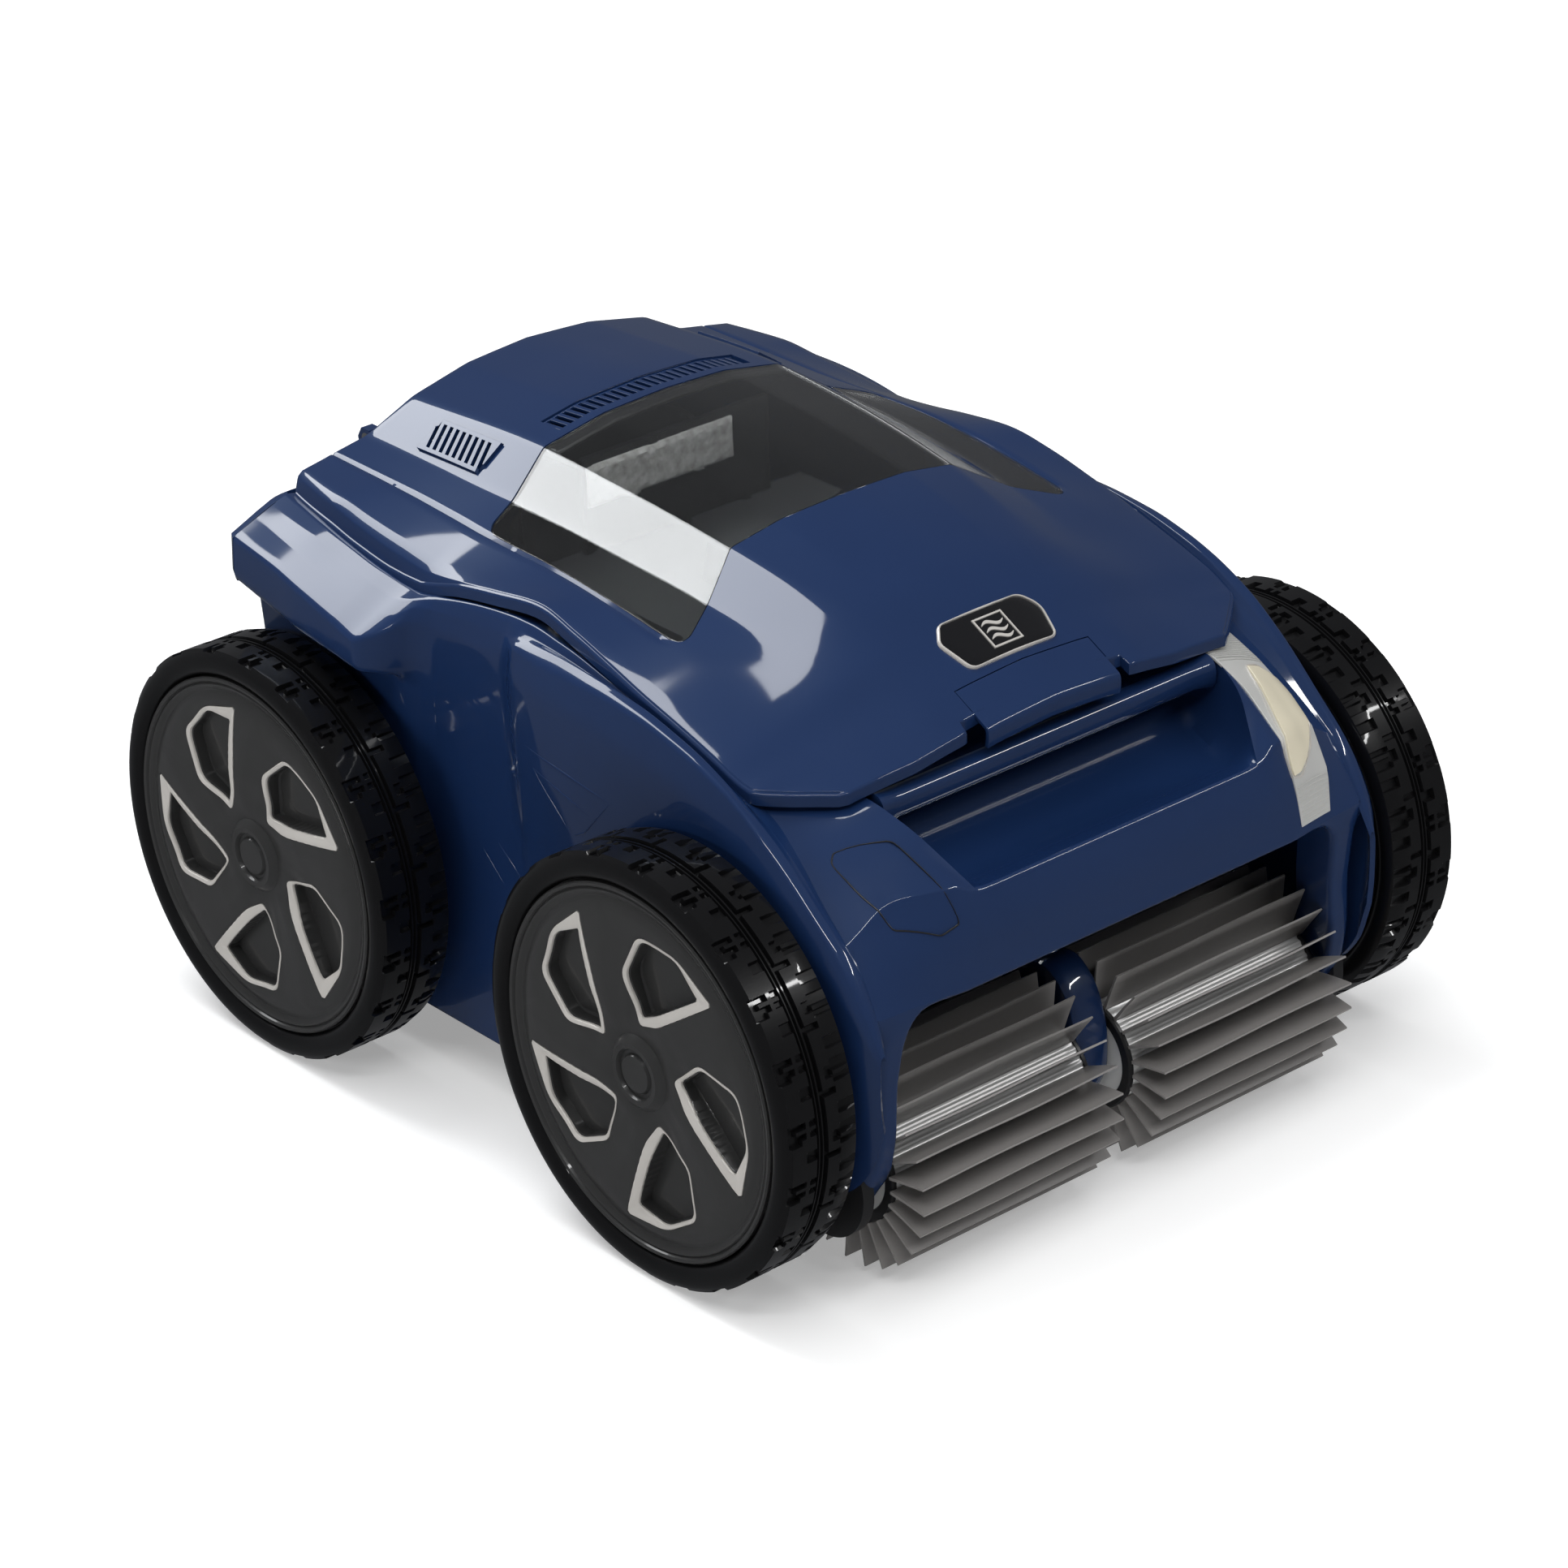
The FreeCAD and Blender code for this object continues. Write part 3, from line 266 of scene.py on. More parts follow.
NAVY = (0.011, 0.0265, 0.075)
LOOKS = {
    "navy_shell": lacquer("navy_gloss", NAVY),
    "window_clear": clear("smoked_pane", (0.84, 0.86, 0.86)),
    "lens_cream": plastic("cream_lens", (0.62, 0.57, 0.44), 0.2, grain=0.05, coat=0.6),
    # pale silver of the right lamp strip: partly a painted reflection of the white backdrop
    "silver_strip": plastic("silver_strip", (0.62, 0.62, 0.6), 0.34, metallic=0.4, grain=0.2),
    "trim_silver": plastic("trim_silver", (0.6, 0.575, 0.54), 0.34, metallic=0.35, grain=0.1),
    "black_plastic": plastic("black_plastic", (0.012, 0.012, 0.013), 0.35, grain=0.1),
    "badge_black": plastic("badge_black", (0.004, 0.004, 0.005), 0.16, grain=0.02, coat=0.8),
    "grey_plastic": plastic("grey_plastic", (0.055, 0.057, 0.06), 0.42, grain=0.2),
    "filter_net": fibre("filter_net", (0.33, 0.33, 0.32), 0.0012),
    "felt": fibre("white_felt", (1.0, 0.88, 0.72), 0.003),
    "white_plastic": plastic("white_plastic", (0.6, 0.6, 0.58), 0.4),
    "motor_can": plastic("motor_can", (0.07, 0.07, 0.075), 0.4, grain=0.1),
    "belt_rubber": plastic("belt_rubber", (0.012, 0.012, 0.012), 0.75, grain=0.3),
    "steel": plastic("steel", (0.56, 0.56, 0.57), 0.28, metallic=1.0, grain=0.08),
    "core_silver": plastic("core_silver", (0.72, 0.72, 0.71), 0.3, metallic=0.3, grain=0.1),
    "blade_rubber": plastic("blade_rubber", (0.23, 0.22, 0.213), 0.36, grain=0.25),
    "tyre_black": plastic("tyre_rubber", (0.004, 0.004, 0.0044), 0.3, grain=0.12, coat=0.5, shine=0.15),
    "rim_black": plastic("rim_black", (0.01, 0.01, 0.0105), 0.3, grain=0.08),
    "cover_black": plastic("cover_black", (0.026, 0.026, 0.026), 0.3, grain=0.12, coat=0.5, shine=0.35),
    "gear_plastic": plastic("gear_plastic", (0.03, 0.03, 0.032), 0.4),
}


def paint_frame():
    """Every CAD node in view gets the finish of its record slot."""
    for part in frame["record"]["subparts"]:
        node = frame["nodes"][part["node"]] if part.get("node") in frame["nodes"] else None
        if node is None:
            continue
        node.data.materials.clear()
        node.data.materials.append(LOOKS[part["material_slot"]])


# ------------------------------------------------------------ mesh tools


def put(name, points, faces, look, body, nodes=(), sharp=38):
    """A mesh piece in millimetres, riding on a body, that may stand for CAD nodes."""
    mesh = bpy.data.meshes.new(name)
    mesh.from_pydata([tuple(p) for p in np.asarray(points, float) * MM], [], faces)
    work = bmesh.new()
    work.from_mesh(mesh)
    bmesh.ops.remove_doubles(work, verts=work.verts, dist=0.00001)
    bmesh.ops.recalc_face_normals(work, faces=work.faces)
    work.to_mesh(mesh)
    work.free()
    mesh.materials.append(LOOKS[look])
    mesh.shade_smooth()
    mesh.set_sharp_from_angle(angle=math.radians(sharp))
    piece = bpy.data.objects.new(name, mesh)
    bpy.context.collection.objects.link(piece)
    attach(piece, body)
    if nodes:
        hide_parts(*nodes)
    return piece


def thicken(piece, thickness):
    """Gives a sheet its thickness, inwards."""
    step = piece.modifiers.new("thickness", "SOLIDIFY")
    step.thickness = thickness * MM
    step.offset = -1
    step.use_even_offset = False
    step.use_quality_normals = True


def round_edges(piece, width, segments=2, angle=35):
    """Rounds the edges sharper than an angle."""
    step = piece.modifiers.new("rounding", "BEVEL")
    step.width = width * MM
    step.segments = segments
    step.limit_method = "ANGLE"
    step.angle_limit = math.radians(angle)
    step.harden_normals = False
    step.use_clamp_overlap = True
    weigh = piece.modifiers.new("shading", "WEIGHTED_NORMAL")
    weigh.keep_sharp = True


def quads(rows, columns, wrap_rows=False, wrap_columns=False, skip=None, first=0):
    """The faces of a grid of points, without the cells that skip(row, column) names."""
    made = []
    for i in range(rows if wrap_rows else rows - 1):
        for j in range(columns if wrap_columns else columns - 1):
            if skip and skip(i, j):
                continue
            a, b = i * columns, ((i + 1) % rows) * columns
            k = (j + 1) % columns
            made.append((first + a + j, first + a + k, first + b + k, first + b + j))
    return made


def smooth_between(keys, values, at):
    """Values at other places, by monotone cubics along the first axis."""
    keys, values = np.asarray(keys, float), np.asarray(values, float)
    if keys[0] > keys[-1]:
        keys, values = keys[::-1], values[::-1]
    shape = (-1,) + (1,) * (values.ndim - 1)
    step = np.diff(keys).reshape(shape)
    slope = np.diff(values, axis=0) / step
    product = slope[:-1] * slope[1:]
    total = np.where(product > 0, slope[:-1] + slope[1:], 1)
    inner = np.where(product > 0, 2 * product / total, 0)
    tangent = np.concatenate([slope[:1], inner, slope[-1:]])
    at = np.clip(np.atleast_1d(np.asarray(at, float)), keys[0], keys[-1])
    i = np.clip(np.searchsorted(keys, at, side="right") - 1, 0, len(keys) - 2)
    h = step[i]
    t = (at - keys[i]).reshape(shape) / h
    low, high = values[i], values[i + 1]
    return (
        (2 * t**3 - 3 * t**2 + 1) * low
        + (t**3 - 2 * t**2 + t) * h * tangent[i]
        + (3 * t**2 - 2 * t**3) * high
        + (t**3 - t**2) * h * tangent[i + 1]
    )


def rounded_path(corners, radii, straight, bend=6):
    """A polyline with rounded corners, always with the same number of points."""
    corners = np.asarray(corners, float)
    lengths = np.linalg.norm(np.diff(corners, axis=0), axis=1)
    path, start = [], corners[0]
    for i in range(1, len(corners)):
        last = i == len(corners) - 1
        if last:
            stop = corners[i]
        else:
            reach = min(radii[i - 1], 0.48 * lengths[i - 1], 0.48 * lengths[i])
            stop = corners[i] + (corners[i - 1] - corners[i]) * reach / lengths[i - 1]
            leave = corners[i] + (corners[i + 1] - corners[i]) * reach / lengths[i]
        count = straight[i - 1]
        path += [start + (stop - start) * k / count for k in range(count)]
        if not last:
            for k in range(bend):
                t = k / bend
                path.append(
                    stop * (1 - t) ** 2 + corners[i] * 2 * t * (1 - t) + leave * t * t
                )
            start = leave
    path.append(corners[-1])
    return np.array(path)


def rounded_loop(corners, radii, straight, bend):
    """A closed outline with rounded corners, from the middle of its last side round to there."""
    corners = np.asarray(corners, float)
    middle = (corners[0] + corners[-1]) / 2
    loop = np.vstack([middle, corners, middle])
    return rounded_path(loop, radii, [straight] * (len(loop) - 1), bend)[:-1]


def joined(parts):
    """Several (points, faces) pairs as one."""
    points, faces = [], []
    for more, more_faces in parts:
        faces += [tuple(v + len(points) for v in face) for face in more_faces]
        points += list(more)
    return points, faces


def end_caps(count, total, first=0):
    """Faces that close the first and the last ring of a tube."""
    return [tuple(range(first, first + count)), tuple(range(total - count, total))]


def lofted(stations, at, radii, straight, bend=6):
    """Rounded sections at the places along an axis: an array (places, points, 2)."""
    keys = sorted(stations)
    lines = smooth_between(keys, [stations[k] for k in keys], at)
    return np.array([rounded_path(line, radii, straight, bend) for line in lines])


def spaced(*runs):
    """Numbers through the given stops: spaced(0, 5, 10) gives 0 to 10 in 5 steps."""
    made = [float(runs[0])]
    for count, stop in zip(runs[1::2], runs[2::2]):
        made += list(np.linspace(made[-1], stop, count + 1)[1:])
    return np.array(made)


def eased(t):
    """0 to 1 with flat ends."""
    t = np.clip(t, 0, 1)
    return t * t * (3 - 2 * t)


# ------------------------------------------------------------ hood

# feature lines from rear to front, y: (x, z)
CROWN = {
    184: (0, 293), 147: (0, 295), 84: (0, 298), 27: (0, 295), -51: (0, 285), -112: (0, 269),
    -152: (0, 249), -190: (0, 229.5),
}
QUARTER = {
    184: (36, 291), 147: (36, 293), 84: (36, 296), 27: (36, 293), -51: (36, 283), -112: (34, 267),
    -152: (34, 247), -190: (34, 227.5),
}
RIDGE = {
    184: (70, 284), 84: (71, 289), 27: (70, 286), -51: (66, 277), -112: (60, 263), -136: (58, 253),
    -152: (58, 244), -172: (58, 234), -190: (58, 224),
}
FOOT = {
    184: (95, 270), 84: (95, 272.5), 27: (95, 270.5), -51: (92, 264), -78: (90, 260), -112: (84, 253),
    -136: (82, 246), -152: (80, 238), -172: (79, 229), -190: (78, 221),
}
GROOVE = {
    184: (112, 266), 120: (113, 265.6), 84: (114.5, 265), 60: (116.5, 265), 27: (118, 264.8),
    8: (118, 264), -25: (118, 261), -52: (118, 257.6), -78: (117, 253.6), -112: (111, 244.6),
    -136: (108, 237.2), -152: (104, 231), -163: (102.5, 227.4), -172: (100.5, 224.6),
    -180: (98, 222.4), -190: (96, 219.6),
}
BROW = {
    184: (131.5, 261.2), 179: (133, 261), 147: (139.2, 261), 125: (141.5, 258.3), 91: (143.6, 254.6),
    68: (143.9, 252.4), 45: (143.6, 254.4), 20: (142.8, 258), -10: (141.5, 261.2), -36: (143, 256.8),
    -59: (144, 251), -88: (145, 243), -117: (145, 235), -136: (145, 229), -152: (143.5, 223),
    -163: (132.5, 221.2), -172: (121.5, 220.6), -180: (111.5, 219.8), -190: (102, 218.2),
}
RIM = {
    184: (134, 253), 179: (135.5, 252.6), 147: (141, 250.8), 125: (143.2, 248), 91: (145.2, 245.4),
    75: (145.6, 245.6), 60: (145.3, 249), 45: (144.6, 253), 20: (143.8, 257), -10: (142.5, 260.2),
    -36: (144, 255.8), -59: (145, 250), -88: (146, 242), -117: (146, 234), -136: (146, 228),
    -152: (144.3, 222), -163: (133.3, 220.2), -172: (122.2, 219.6), -180: (112.2, 218.8),
    -190: (102.7, 217.2),
}
HOOD_LINES = (CROWN, QUARTER, RIDGE, FOOT, GROOVE, BROW, RIM)
HOOD_FRONT, HOOD_REAR = -190, 184
HOOD_KEYS = np.arange(HOOD_FRONT, HOOD_REAR + 1)
HOOD_VALUES = np.stack(
    [smooth_between(sorted(t), [t[k] for k in sorted(t)], HOOD_KEYS) for t in HOOD_LINES], axis=1
)
HOOD_WALL = 2.5


def hood_section(y):
    """The seven feature points of the hood's section at y."""
    at = min(max(y, HOOD_FRONT), HOOD_REAR) - HOOD_FRONT
    low = min(int(at), len(HOOD_KEYS) - 2)
    return HOOD_VALUES[low] + (HOOD_VALUES[low + 1] - HOOD_VALUES[low]) * (at - low)


def hood_point(s, y, drop=0.0):
    """A point of the hood's outer face. s counts the feature lines, negative on the left."""
    line = hood_section(y)
    side = -1 if s < 0 else 1
    x = np.interp(abs(s), range(7), line[:, 0])
    soft = 2.6 + 12 * eased((-75 - y) / 50) - 10 * eased((-150 - y) / 20)
    room = line[-1, 0] - x
    soft = max(0.3, min(soft, 0.6 * room + 0.3))
    ends = np.concatenate([-line[:0:-1, 0], line[:, 0], [line[-1, 0] + 30]])
    tops = np.concatenate(
        [line[:0:-1, 1], line[:, 1], [line[-1, 1] + 30 * edge_slope(line)]]
    )
    area = np.concatenate([[0], np.cumsum(np.diff(ends) * (tops[1:] + tops[:-1]) / 2)])

    def integral(v):
        i = np.clip(np.searchsorted(ends, v) - 1, 0, len(ends) - 2)
        t = v - ends[i]
        slope = (tops[i + 1] - tops[i]) / (ends[i + 1] - ends[i])
        return area[i] + tops[i] * t + slope * t * t / 2

    z = (integral(x + soft) - integral(x - soft)) / (2 * soft)
    return np.array([side * x, y, z - drop])


def edge_slope(line):
    """How steeply the hood's last strip falls."""
    return (line[-1, 1] - line[-2, 1]) / (line[-1, 0] - line[-2, 0])


# how far back or forward each line runs, by s
REAR_END = ((0, 2, 3, 5, 6), (174, 172, 177, 182, 180))
PANE_REAR = ((0, 2, 4, 6), (72, 74, 61, 60))
PANE_FRONT = ((0, 2, 4, 6), (-54, -51, -78, -80))
PANE_SIDE = 4
VENT_BACK, VENT_FRONT = 19, 5
VENT_SPAN = 1.62
SIDE_VENT = (2.24, 2.88)
SIDE_VENT_Y = (142, 96)
PANE_CORNER = 0.35
LIP_END = ((0, 1.62, 1.66, 3, 4, 5, 6), (-179, -179, -184, -183, -181, -179, -177))
# s of the middle tab's side, its half width, and s and depth of the fine line round the pane
TAB_S, TAB_HALF = 1.26, 35.5
LINE_S, LINE_DEPTH, LINE_ROWS = 4.06, 0.8, 60


def along(line, s):
    """The y that a line has at s."""
    return float(np.interp(abs(s), *line))


def pane_corner(s):
    """0 along the window's edge, rising to 1 round its lower corner."""
    into = (abs(s) - (PANE_SIDE - PANE_CORNER)) / PANE_CORNER
    return 1 - math.sqrt(max(0, 1 - min(1, max(0, into)) ** 2))


def pane_front(s):
    """The window's front edge, its lower corner rounded."""
    return along(PANE_FRONT, s) + 9 * pane_corner(s)


def pane_rear(s):
    """The window's rear edge, its lower corner rounded."""
    return along(PANE_REAR, s) - 7 * pane_corner(s)


def lip_end(s):
    """The front lip is set back in a notch at each side of the middle tab."""
    return along(LIP_END, s)


HALF_S = spaced(
    0, 3, 1, 2, TAB_S, 2, 1.62, 1, 1.66, 3, 1.9, 3, 2.1, 1, 2.24, 4, 2.88, 4, 3.2, 4, 3.65, 6, 4, 1, LINE_S,
    1, 4.12, 8, 5, 4, 6,
)
HOOD_S = np.concatenate([-HALF_S[:0:-1], HALF_S])
# (rows, function of s that gives where the run of rows ends)
HOOD_RUNS = (
    (9, lambda s: SIDE_VENT_Y[0]),
    (10, lambda s: SIDE_VENT_Y[1]),
    (2, lambda s: pane_rear(s) + VENT_BACK),
    (3, lambda s: pane_rear(s) + VENT_FRONT),
    (2, pane_rear),
    (34, pane_front),
    (22, lambda s: -152),
    (14, lambda s: lip_end(s)),
)


def hood_rows(s):
    """The y of every row at s, from the rear end to the front lip."""
    rows = [along(REAR_END, s)]
    for count, stop in HOOD_RUNS:
        rows += list(np.linspace(rows[-1], stop(s), count + 1)[1:])
    return rows


def edge_strip(loop, outward, profile):
    """A rolled border below a chain of points: an array (profile, points, 3)."""
    return np.array(
        [loop + outward * out + np.array((0, 0, 1.0)) * up for out, up in profile]
    )


def make_hood():
    """The lid's shell with its openings, rolled edge and rear wall."""
    columns = len(HOOD_S)
    top = np.array([[hood_point(s, y) for y in hood_rows(s)] for s in HOOD_S])
    top = top.transpose(1, 0, 2)
    line = np.abs(np.abs(HOOD_S) - LINE_S) < 0.01
    top[:LINE_ROWS, line, 2] -= LINE_DEPTH
    ends = np.cumsum([0] + [count for count, _ in HOOD_RUNS])
    window, vent, side = (ends[5], ends[6]), (ends[3], ends[4]), (ends[1], ends[2])
    latch = ends[8] - 6

    def skip(i, j):
        s = abs(HOOD_S[j] + HOOD_S[j + 1]) / 2
        return (
            (window[0] <= i < window[1] and s < PANE_SIDE)
            or (vent[0] <= i < vent[1] and s < VENT_SPAN)
            or (side[0] <= i < side[1] and SIDE_VENT[0] < s < SIDE_VENT[1])
            or (i >= latch and s < TAB_S)
        )

    points = list(top.reshape(-1, 3))
    faces = quads(len(top), columns, skip=skip)
    # rear wall: rolls over the rear end and drops to the cowl
    wall = []
    for back, fall in ((1.2, 0.5), (2.2, 1.8), (2.8, 4), (None, 0.5), (None, 1)):
        row = []
        for p in top[0]:
            foot = np.array((p[0], 183.9, min(p[2] - 6, 255)))
            if back is not None:
                row.append(p + (0, back * min(1, (184.5 - p[1]) / 6), -fall))
            else:
                near = p + (0, 2.8 * min(1, (184.5 - p[1]) / 6), -4)
                row.append(near + (foot - near) * fall)
        wall.append(row)
    first = len(points)
    points += list(np.array(wall).reshape(-1, 3))
    faces += quads(len(wall), columns, first=first)
    faces += [(j, j + 1, first + j + 1, first + j) for j in range(columns - 1)]
    # rolled edge along both sides and the front
    chain = np.concatenate([top[:, 0], top[-1, 1:-1], top[::-1, -1]])
    run = np.gradient(chain, axis=0)
    outward = np.stack([-run[:, 1], run[:, 0], 0 * run[:, 0]], axis=1)
    outward /= np.linalg.norm(outward, axis=1)[:, None]
    outward *= np.where((outward * chain).sum(axis=1) < 0, -1, 1)[:, None]
    roll = edge_strip(chain, outward, ((0, 0), (0.6, -0.2), (1.1, -0.8), (1.3, -1.6), (1.3, -6)))
    first = len(points)
    points += list(roll.reshape(-1, 3))
    middle = len(top)
    span = len(chain) - 2 * middle

    def open_front(i, j):
        at = chain[j][0] + chain[min(j + 1, len(chain) - 1)][0]
        return middle <= j < middle + span and abs(at) / 2 < TAB_HALF

    faces += quads(len(roll), len(chain), first=first, skip=open_front)
    piece = put("lid_hood", points, faces, "navy_shell", "lid", ("lid_shell",))
    thicken(piece, HOOD_WALL)
    round_edges(piece, 0.5, 2, 50)


def hood_patch(name, s_values, rows_of, look, nodes, drop, thickness, skip=None, edge=0.4):
    """A separate panel that follows the hood, let down by drop."""
    grid = np.array([[hood_point(s, y, drop) for y in rows_of(s)] for s in s_values])
    faces = quads(*grid.shape[:2], skip=skip)
    piece = put(name, grid.reshape(-1, 3), faces, look, "lid", nodes)
    thicken(piece, thickness)
    if edge:
        round_edges(piece, edge, 2, 50)
    return piece


def make_window():
    """The clear pane and the dark band under its rear edge."""
    inner = HALF_S[HALF_S <= PANE_SIDE] * 0.997
    both = np.concatenate([-inner[:0:-1], inner])

    def rows_of(s):
        return np.linspace(pane_rear(s) - 0.35, pane_front(s) + 0.35, 40)

    hood_patch("lid_window_pane", both, rows_of, "window_clear", ("lid_window",), 0.2, 2.2)
    band = both[np.abs(both) <= 2.0]

    def band_rows(s):
        return np.linspace(pane_rear(s) - 0.6, pane_rear(s) - 9, 4)

    hood_patch("lid_window_band", band, band_rows, "black_plastic", (), 2.6, 1.2, edge=0)


def grille_rows(s_values, y_of, bars, lean):
    """Rows of a grille: bars and slots in turn, leaning along s."""
    low, high = min(s_values), max(s_values)

    def rows_of(s):
        shift = lean * ((s - low) / (high - low) - 0.5)
        back, front = y_of(s)
        stops = np.linspace(back, front, 2 * bars + 2)
        return [back] + [v + shift for v in stops[1:-1]] + [front]

    return rows_of


def make_vents():
    """Side grilles on the rear chamfers and the slatted strip behind the window."""
    for side, name in ((-1, "left"), (1, "right")):
        s_values = side * spaced(SIDE_VENT[0] + 0.005, 1, 2.32, 5, 2.8, 1, SIDE_VENT[1] - 0.005)
        back, front = SIDE_VENT_Y[0] - 0.3, SIDE_VENT_Y[1] + 0.3
        rows = grille_rows(s_values, lambda s: (back, front), 9, -side * 7)
        hood_patch(
            name + "_side_grille",
            s_values,
            rows,
            "navy_shell",
            (name + "_vent",),
            0.5,
            2,
            skip=lambda i, j: 1 <= i <= 5 and j % 2 == 1,
            edge=0.25,
        )
    count = 25
    half = VENT_SPAN - 0.01
    points, faces = [], []
    slots = np.linspace(-half, half, 2 * count + 1)
    levels = (0.03, 0.12, 0.88, 0.97)
    for s in slots:
        for t in levels:
            back, front = pane_rear(s) + VENT_BACK, pane_rear(s) + VENT_FRONT
            lean = 0.045 * (t - 0.5)
            points.append(hood_point(np.clip(s + lean, -half, half), back + (front - back) * t, 0.8))
    faces = quads(len(slots), 4, skip=lambda i, j: j == 1 and i % 2 == 1)
    piece = put("top_grille", points, faces, "navy_shell", "lid", ("top_vent",))
    thicken(piece, 2)
    round_edges(piece, 0.2, 1, 50)


# ------------------------------------------------------------ wheels

AXLE_X, AXLE_Y, AXLE_Z = 163.1, 140, 101
TREAD_REPEATS = 22
# one repeat of the tread across the tyre, from the outer shoulder inward: (width, pattern)
TREAD = (
    (2.6, "########....", 101.0),
    (3.0, "########..#.", 101.0),
    (2.6, "#########.#.", 101.0),
    (2.4, "####..######", 101.0),
    (3.4, "####..###.#.", 101.0),
    (1.2, "............", 101.0),
    (1.1, "############", 100.2),
    (1.0, "............", 101.0),
    (1.1, "############", 100.2),
    (1.6, "............", 101.0),
    (3.0, "###.########", 100.8),
    (4.0, "###.##..####", 100.8),
    (4.4, ".####.#..##.", 100.8),
)
TREAD_FLOOR = 98.5
TREAD_START = 38.6
# (radius, distance out) of the tyre's plain profile, before and after the tread
SHOULDER = (
    (88.3, 6), (88.3, 37.3), (89.4, 39.6), (91.2, 40.9), (93.5, 41.35), (96.2, 41.2),
    (98.4, 40.5), (99.7, 39.4),
)
INNER_WALL = ((99.2, 1.6), (97.2, 0.5), (93, 0.3), (89.5, 1.6), (88.3, 3.4))


def on_axle(points, sign, y):
    """Local (toward pocket 0, sideways, outward) to millimetres in the row frame."""
    points = np.asarray(points, float)
    return np.stack(
        [
            sign * (AXLE_X + points[..., 2]),
            y + points[..., 1],
            AXLE_Z - sign * points[..., 0],
        ],
        axis=-1,
    )


def tyre_points():
    """Rows across the tyre and columns round it, each tread cell with its own corners."""
    cells = len(TREAD[0][1]) * TREAD_REPEATS
    step = 2 * math.pi / cells
    lean = 0.0035
    angles = []
    for k in range(cells):
        angles += [k * step + lean, (k + 1) * step - lean]
    angles = np.array(angles)
    rows = [[(r, w)] * len(angles) for r, w in SHOULDER]
    out = TREAD_START
    for width, pattern, crown in TREAD:
        marks = (pattern * TREAD_REPEATS)[:cells]
        radii = np.repeat([crown if m == "#" else TREAD_FLOOR for m in marks], 2)
        for w in (out - 0.25, out - width + 0.25):
            rows.append([(r, w) for r in radii])
        out -= width
    rows += [[(r, w)] * len(angles) for r, w in INNER_WALL]
    rows = np.array(rows)
    around = np.stack([np.cos(angles), np.sin(angles)], axis=-1)
    return np.concatenate([rows[..., :1] * around[None], rows[..., 1:]], axis=-1)


# the cover's face before the pockets: (radius, distance out)
DISH = (
    (0, 40.6), (8.6, 40.6), (9.6, 39.2), (11.2, 39.0), (12.2, 41.0), (14.6, 41.2), (16.2, 40.0),
    (18, 37.9), (24, 38.9), (40, 40.0), (60, 40.2), (72, 40.0), (76.5, 39.3), (79, 38.0),
    (80.6, 37.4), (82, 37.9), (83, 39.0), (84, 39.2), (84.8, 38.4), (85.6, 39.7), (87, 40.1),
    (87.7, 39.4),
)
POCKET = ((68.5, -32.8), (31, -4.9), (23.1, 5.6), (41.8, 22.6), (66.6, 18.7), (74, -6))
POCKET_INNER = ((63.5, -23.2), (34.5, -1.2), (26.6, 6.6), (42.6, 20.4), (65.2, 16.8), (71.8, -6))
POCKET_ROUND = (1.5, 3, 2.5, 4, 5, 9)
POCKET_CENTRE = (52.0, -1.0)
POCKET_FLOOR = 31.0
WEDGE = math.pi / 5
SWIRL = 2.4


def ring_outline(corners, radii, angles):
    """Where rays from the pocket's centre meet a rounded outline."""
    path = rounded_loop(corners, radii, 8, 8) - POCKET_CENTRE
    turn = np.unwrap(np.arctan2(path[:, 1], path[:, 0]))
    reach = np.linalg.norm(path, axis=1)
    order = np.argsort(turn)
    turn, reach = turn[order], reach[order]
    turn = np.concatenate([turn - 2 * math.pi, turn, turn + 2 * math.pi])
    reach = np.tile(reach, 3)
    found = np.interp(angles, turn, reach)
    return np.stack([np.cos(angles), np.sin(angles)], axis=-1) * found[:, None] + POCKET_CENTRE


def dish_height(points):
    """The cover's face, higher along each pocket's broad side."""
    r = np.hypot(points[..., 0], points[..., 1])
    turn = np.arctan2(points[..., 1], points[..., 0])
    base = np.interp(r, *np.array(DISH).T)
    lead = turn + 0.0075 * (r - 30)
    share = ((lead + WEDGE) / (2 * WEDGE)) % 1
    ramp = np.where(share < 0.22, 0.45 + share / 0.22 * 0.55, 1 - eased((share - 0.22) / 0.5))
    ramp = np.where(share > 0.8, 0.45 * eased((share - 0.8) / 0.2), ramp)
    fade = eased((r - 18) / 14) * (1 - eased((r - 66) / 12))
    return base + SWIRL * (ramp - 0.7) * fade


def wedge_border():
    """Points round one fifth of the cover, from its inner arc outward and back."""
    inner, outer = 18.0, 79.0
    radii = np.linspace(inner, outer, 25)
    low = np.stack([radii * math.cos(WEDGE), -radii * math.sin(WEDGE)], axis=-1)
    arc = np.linspace(-WEDGE, WEDGE, 37)[1:-1]
    far = np.stack([outer * np.cos(arc), outer * np.sin(arc)], axis=-1)
    high = np.stack([radii * math.cos(WEDGE), radii * math.sin(WEDGE)], axis=-1)[::-1]
    near_arc = np.linspace(WEDGE, -WEDGE, 13)[1:-1]
    near = np.stack([inner * np.cos(near_arc), inner * np.sin(near_arc)], axis=-1)
    return np.concatenate([low, far, high, near])


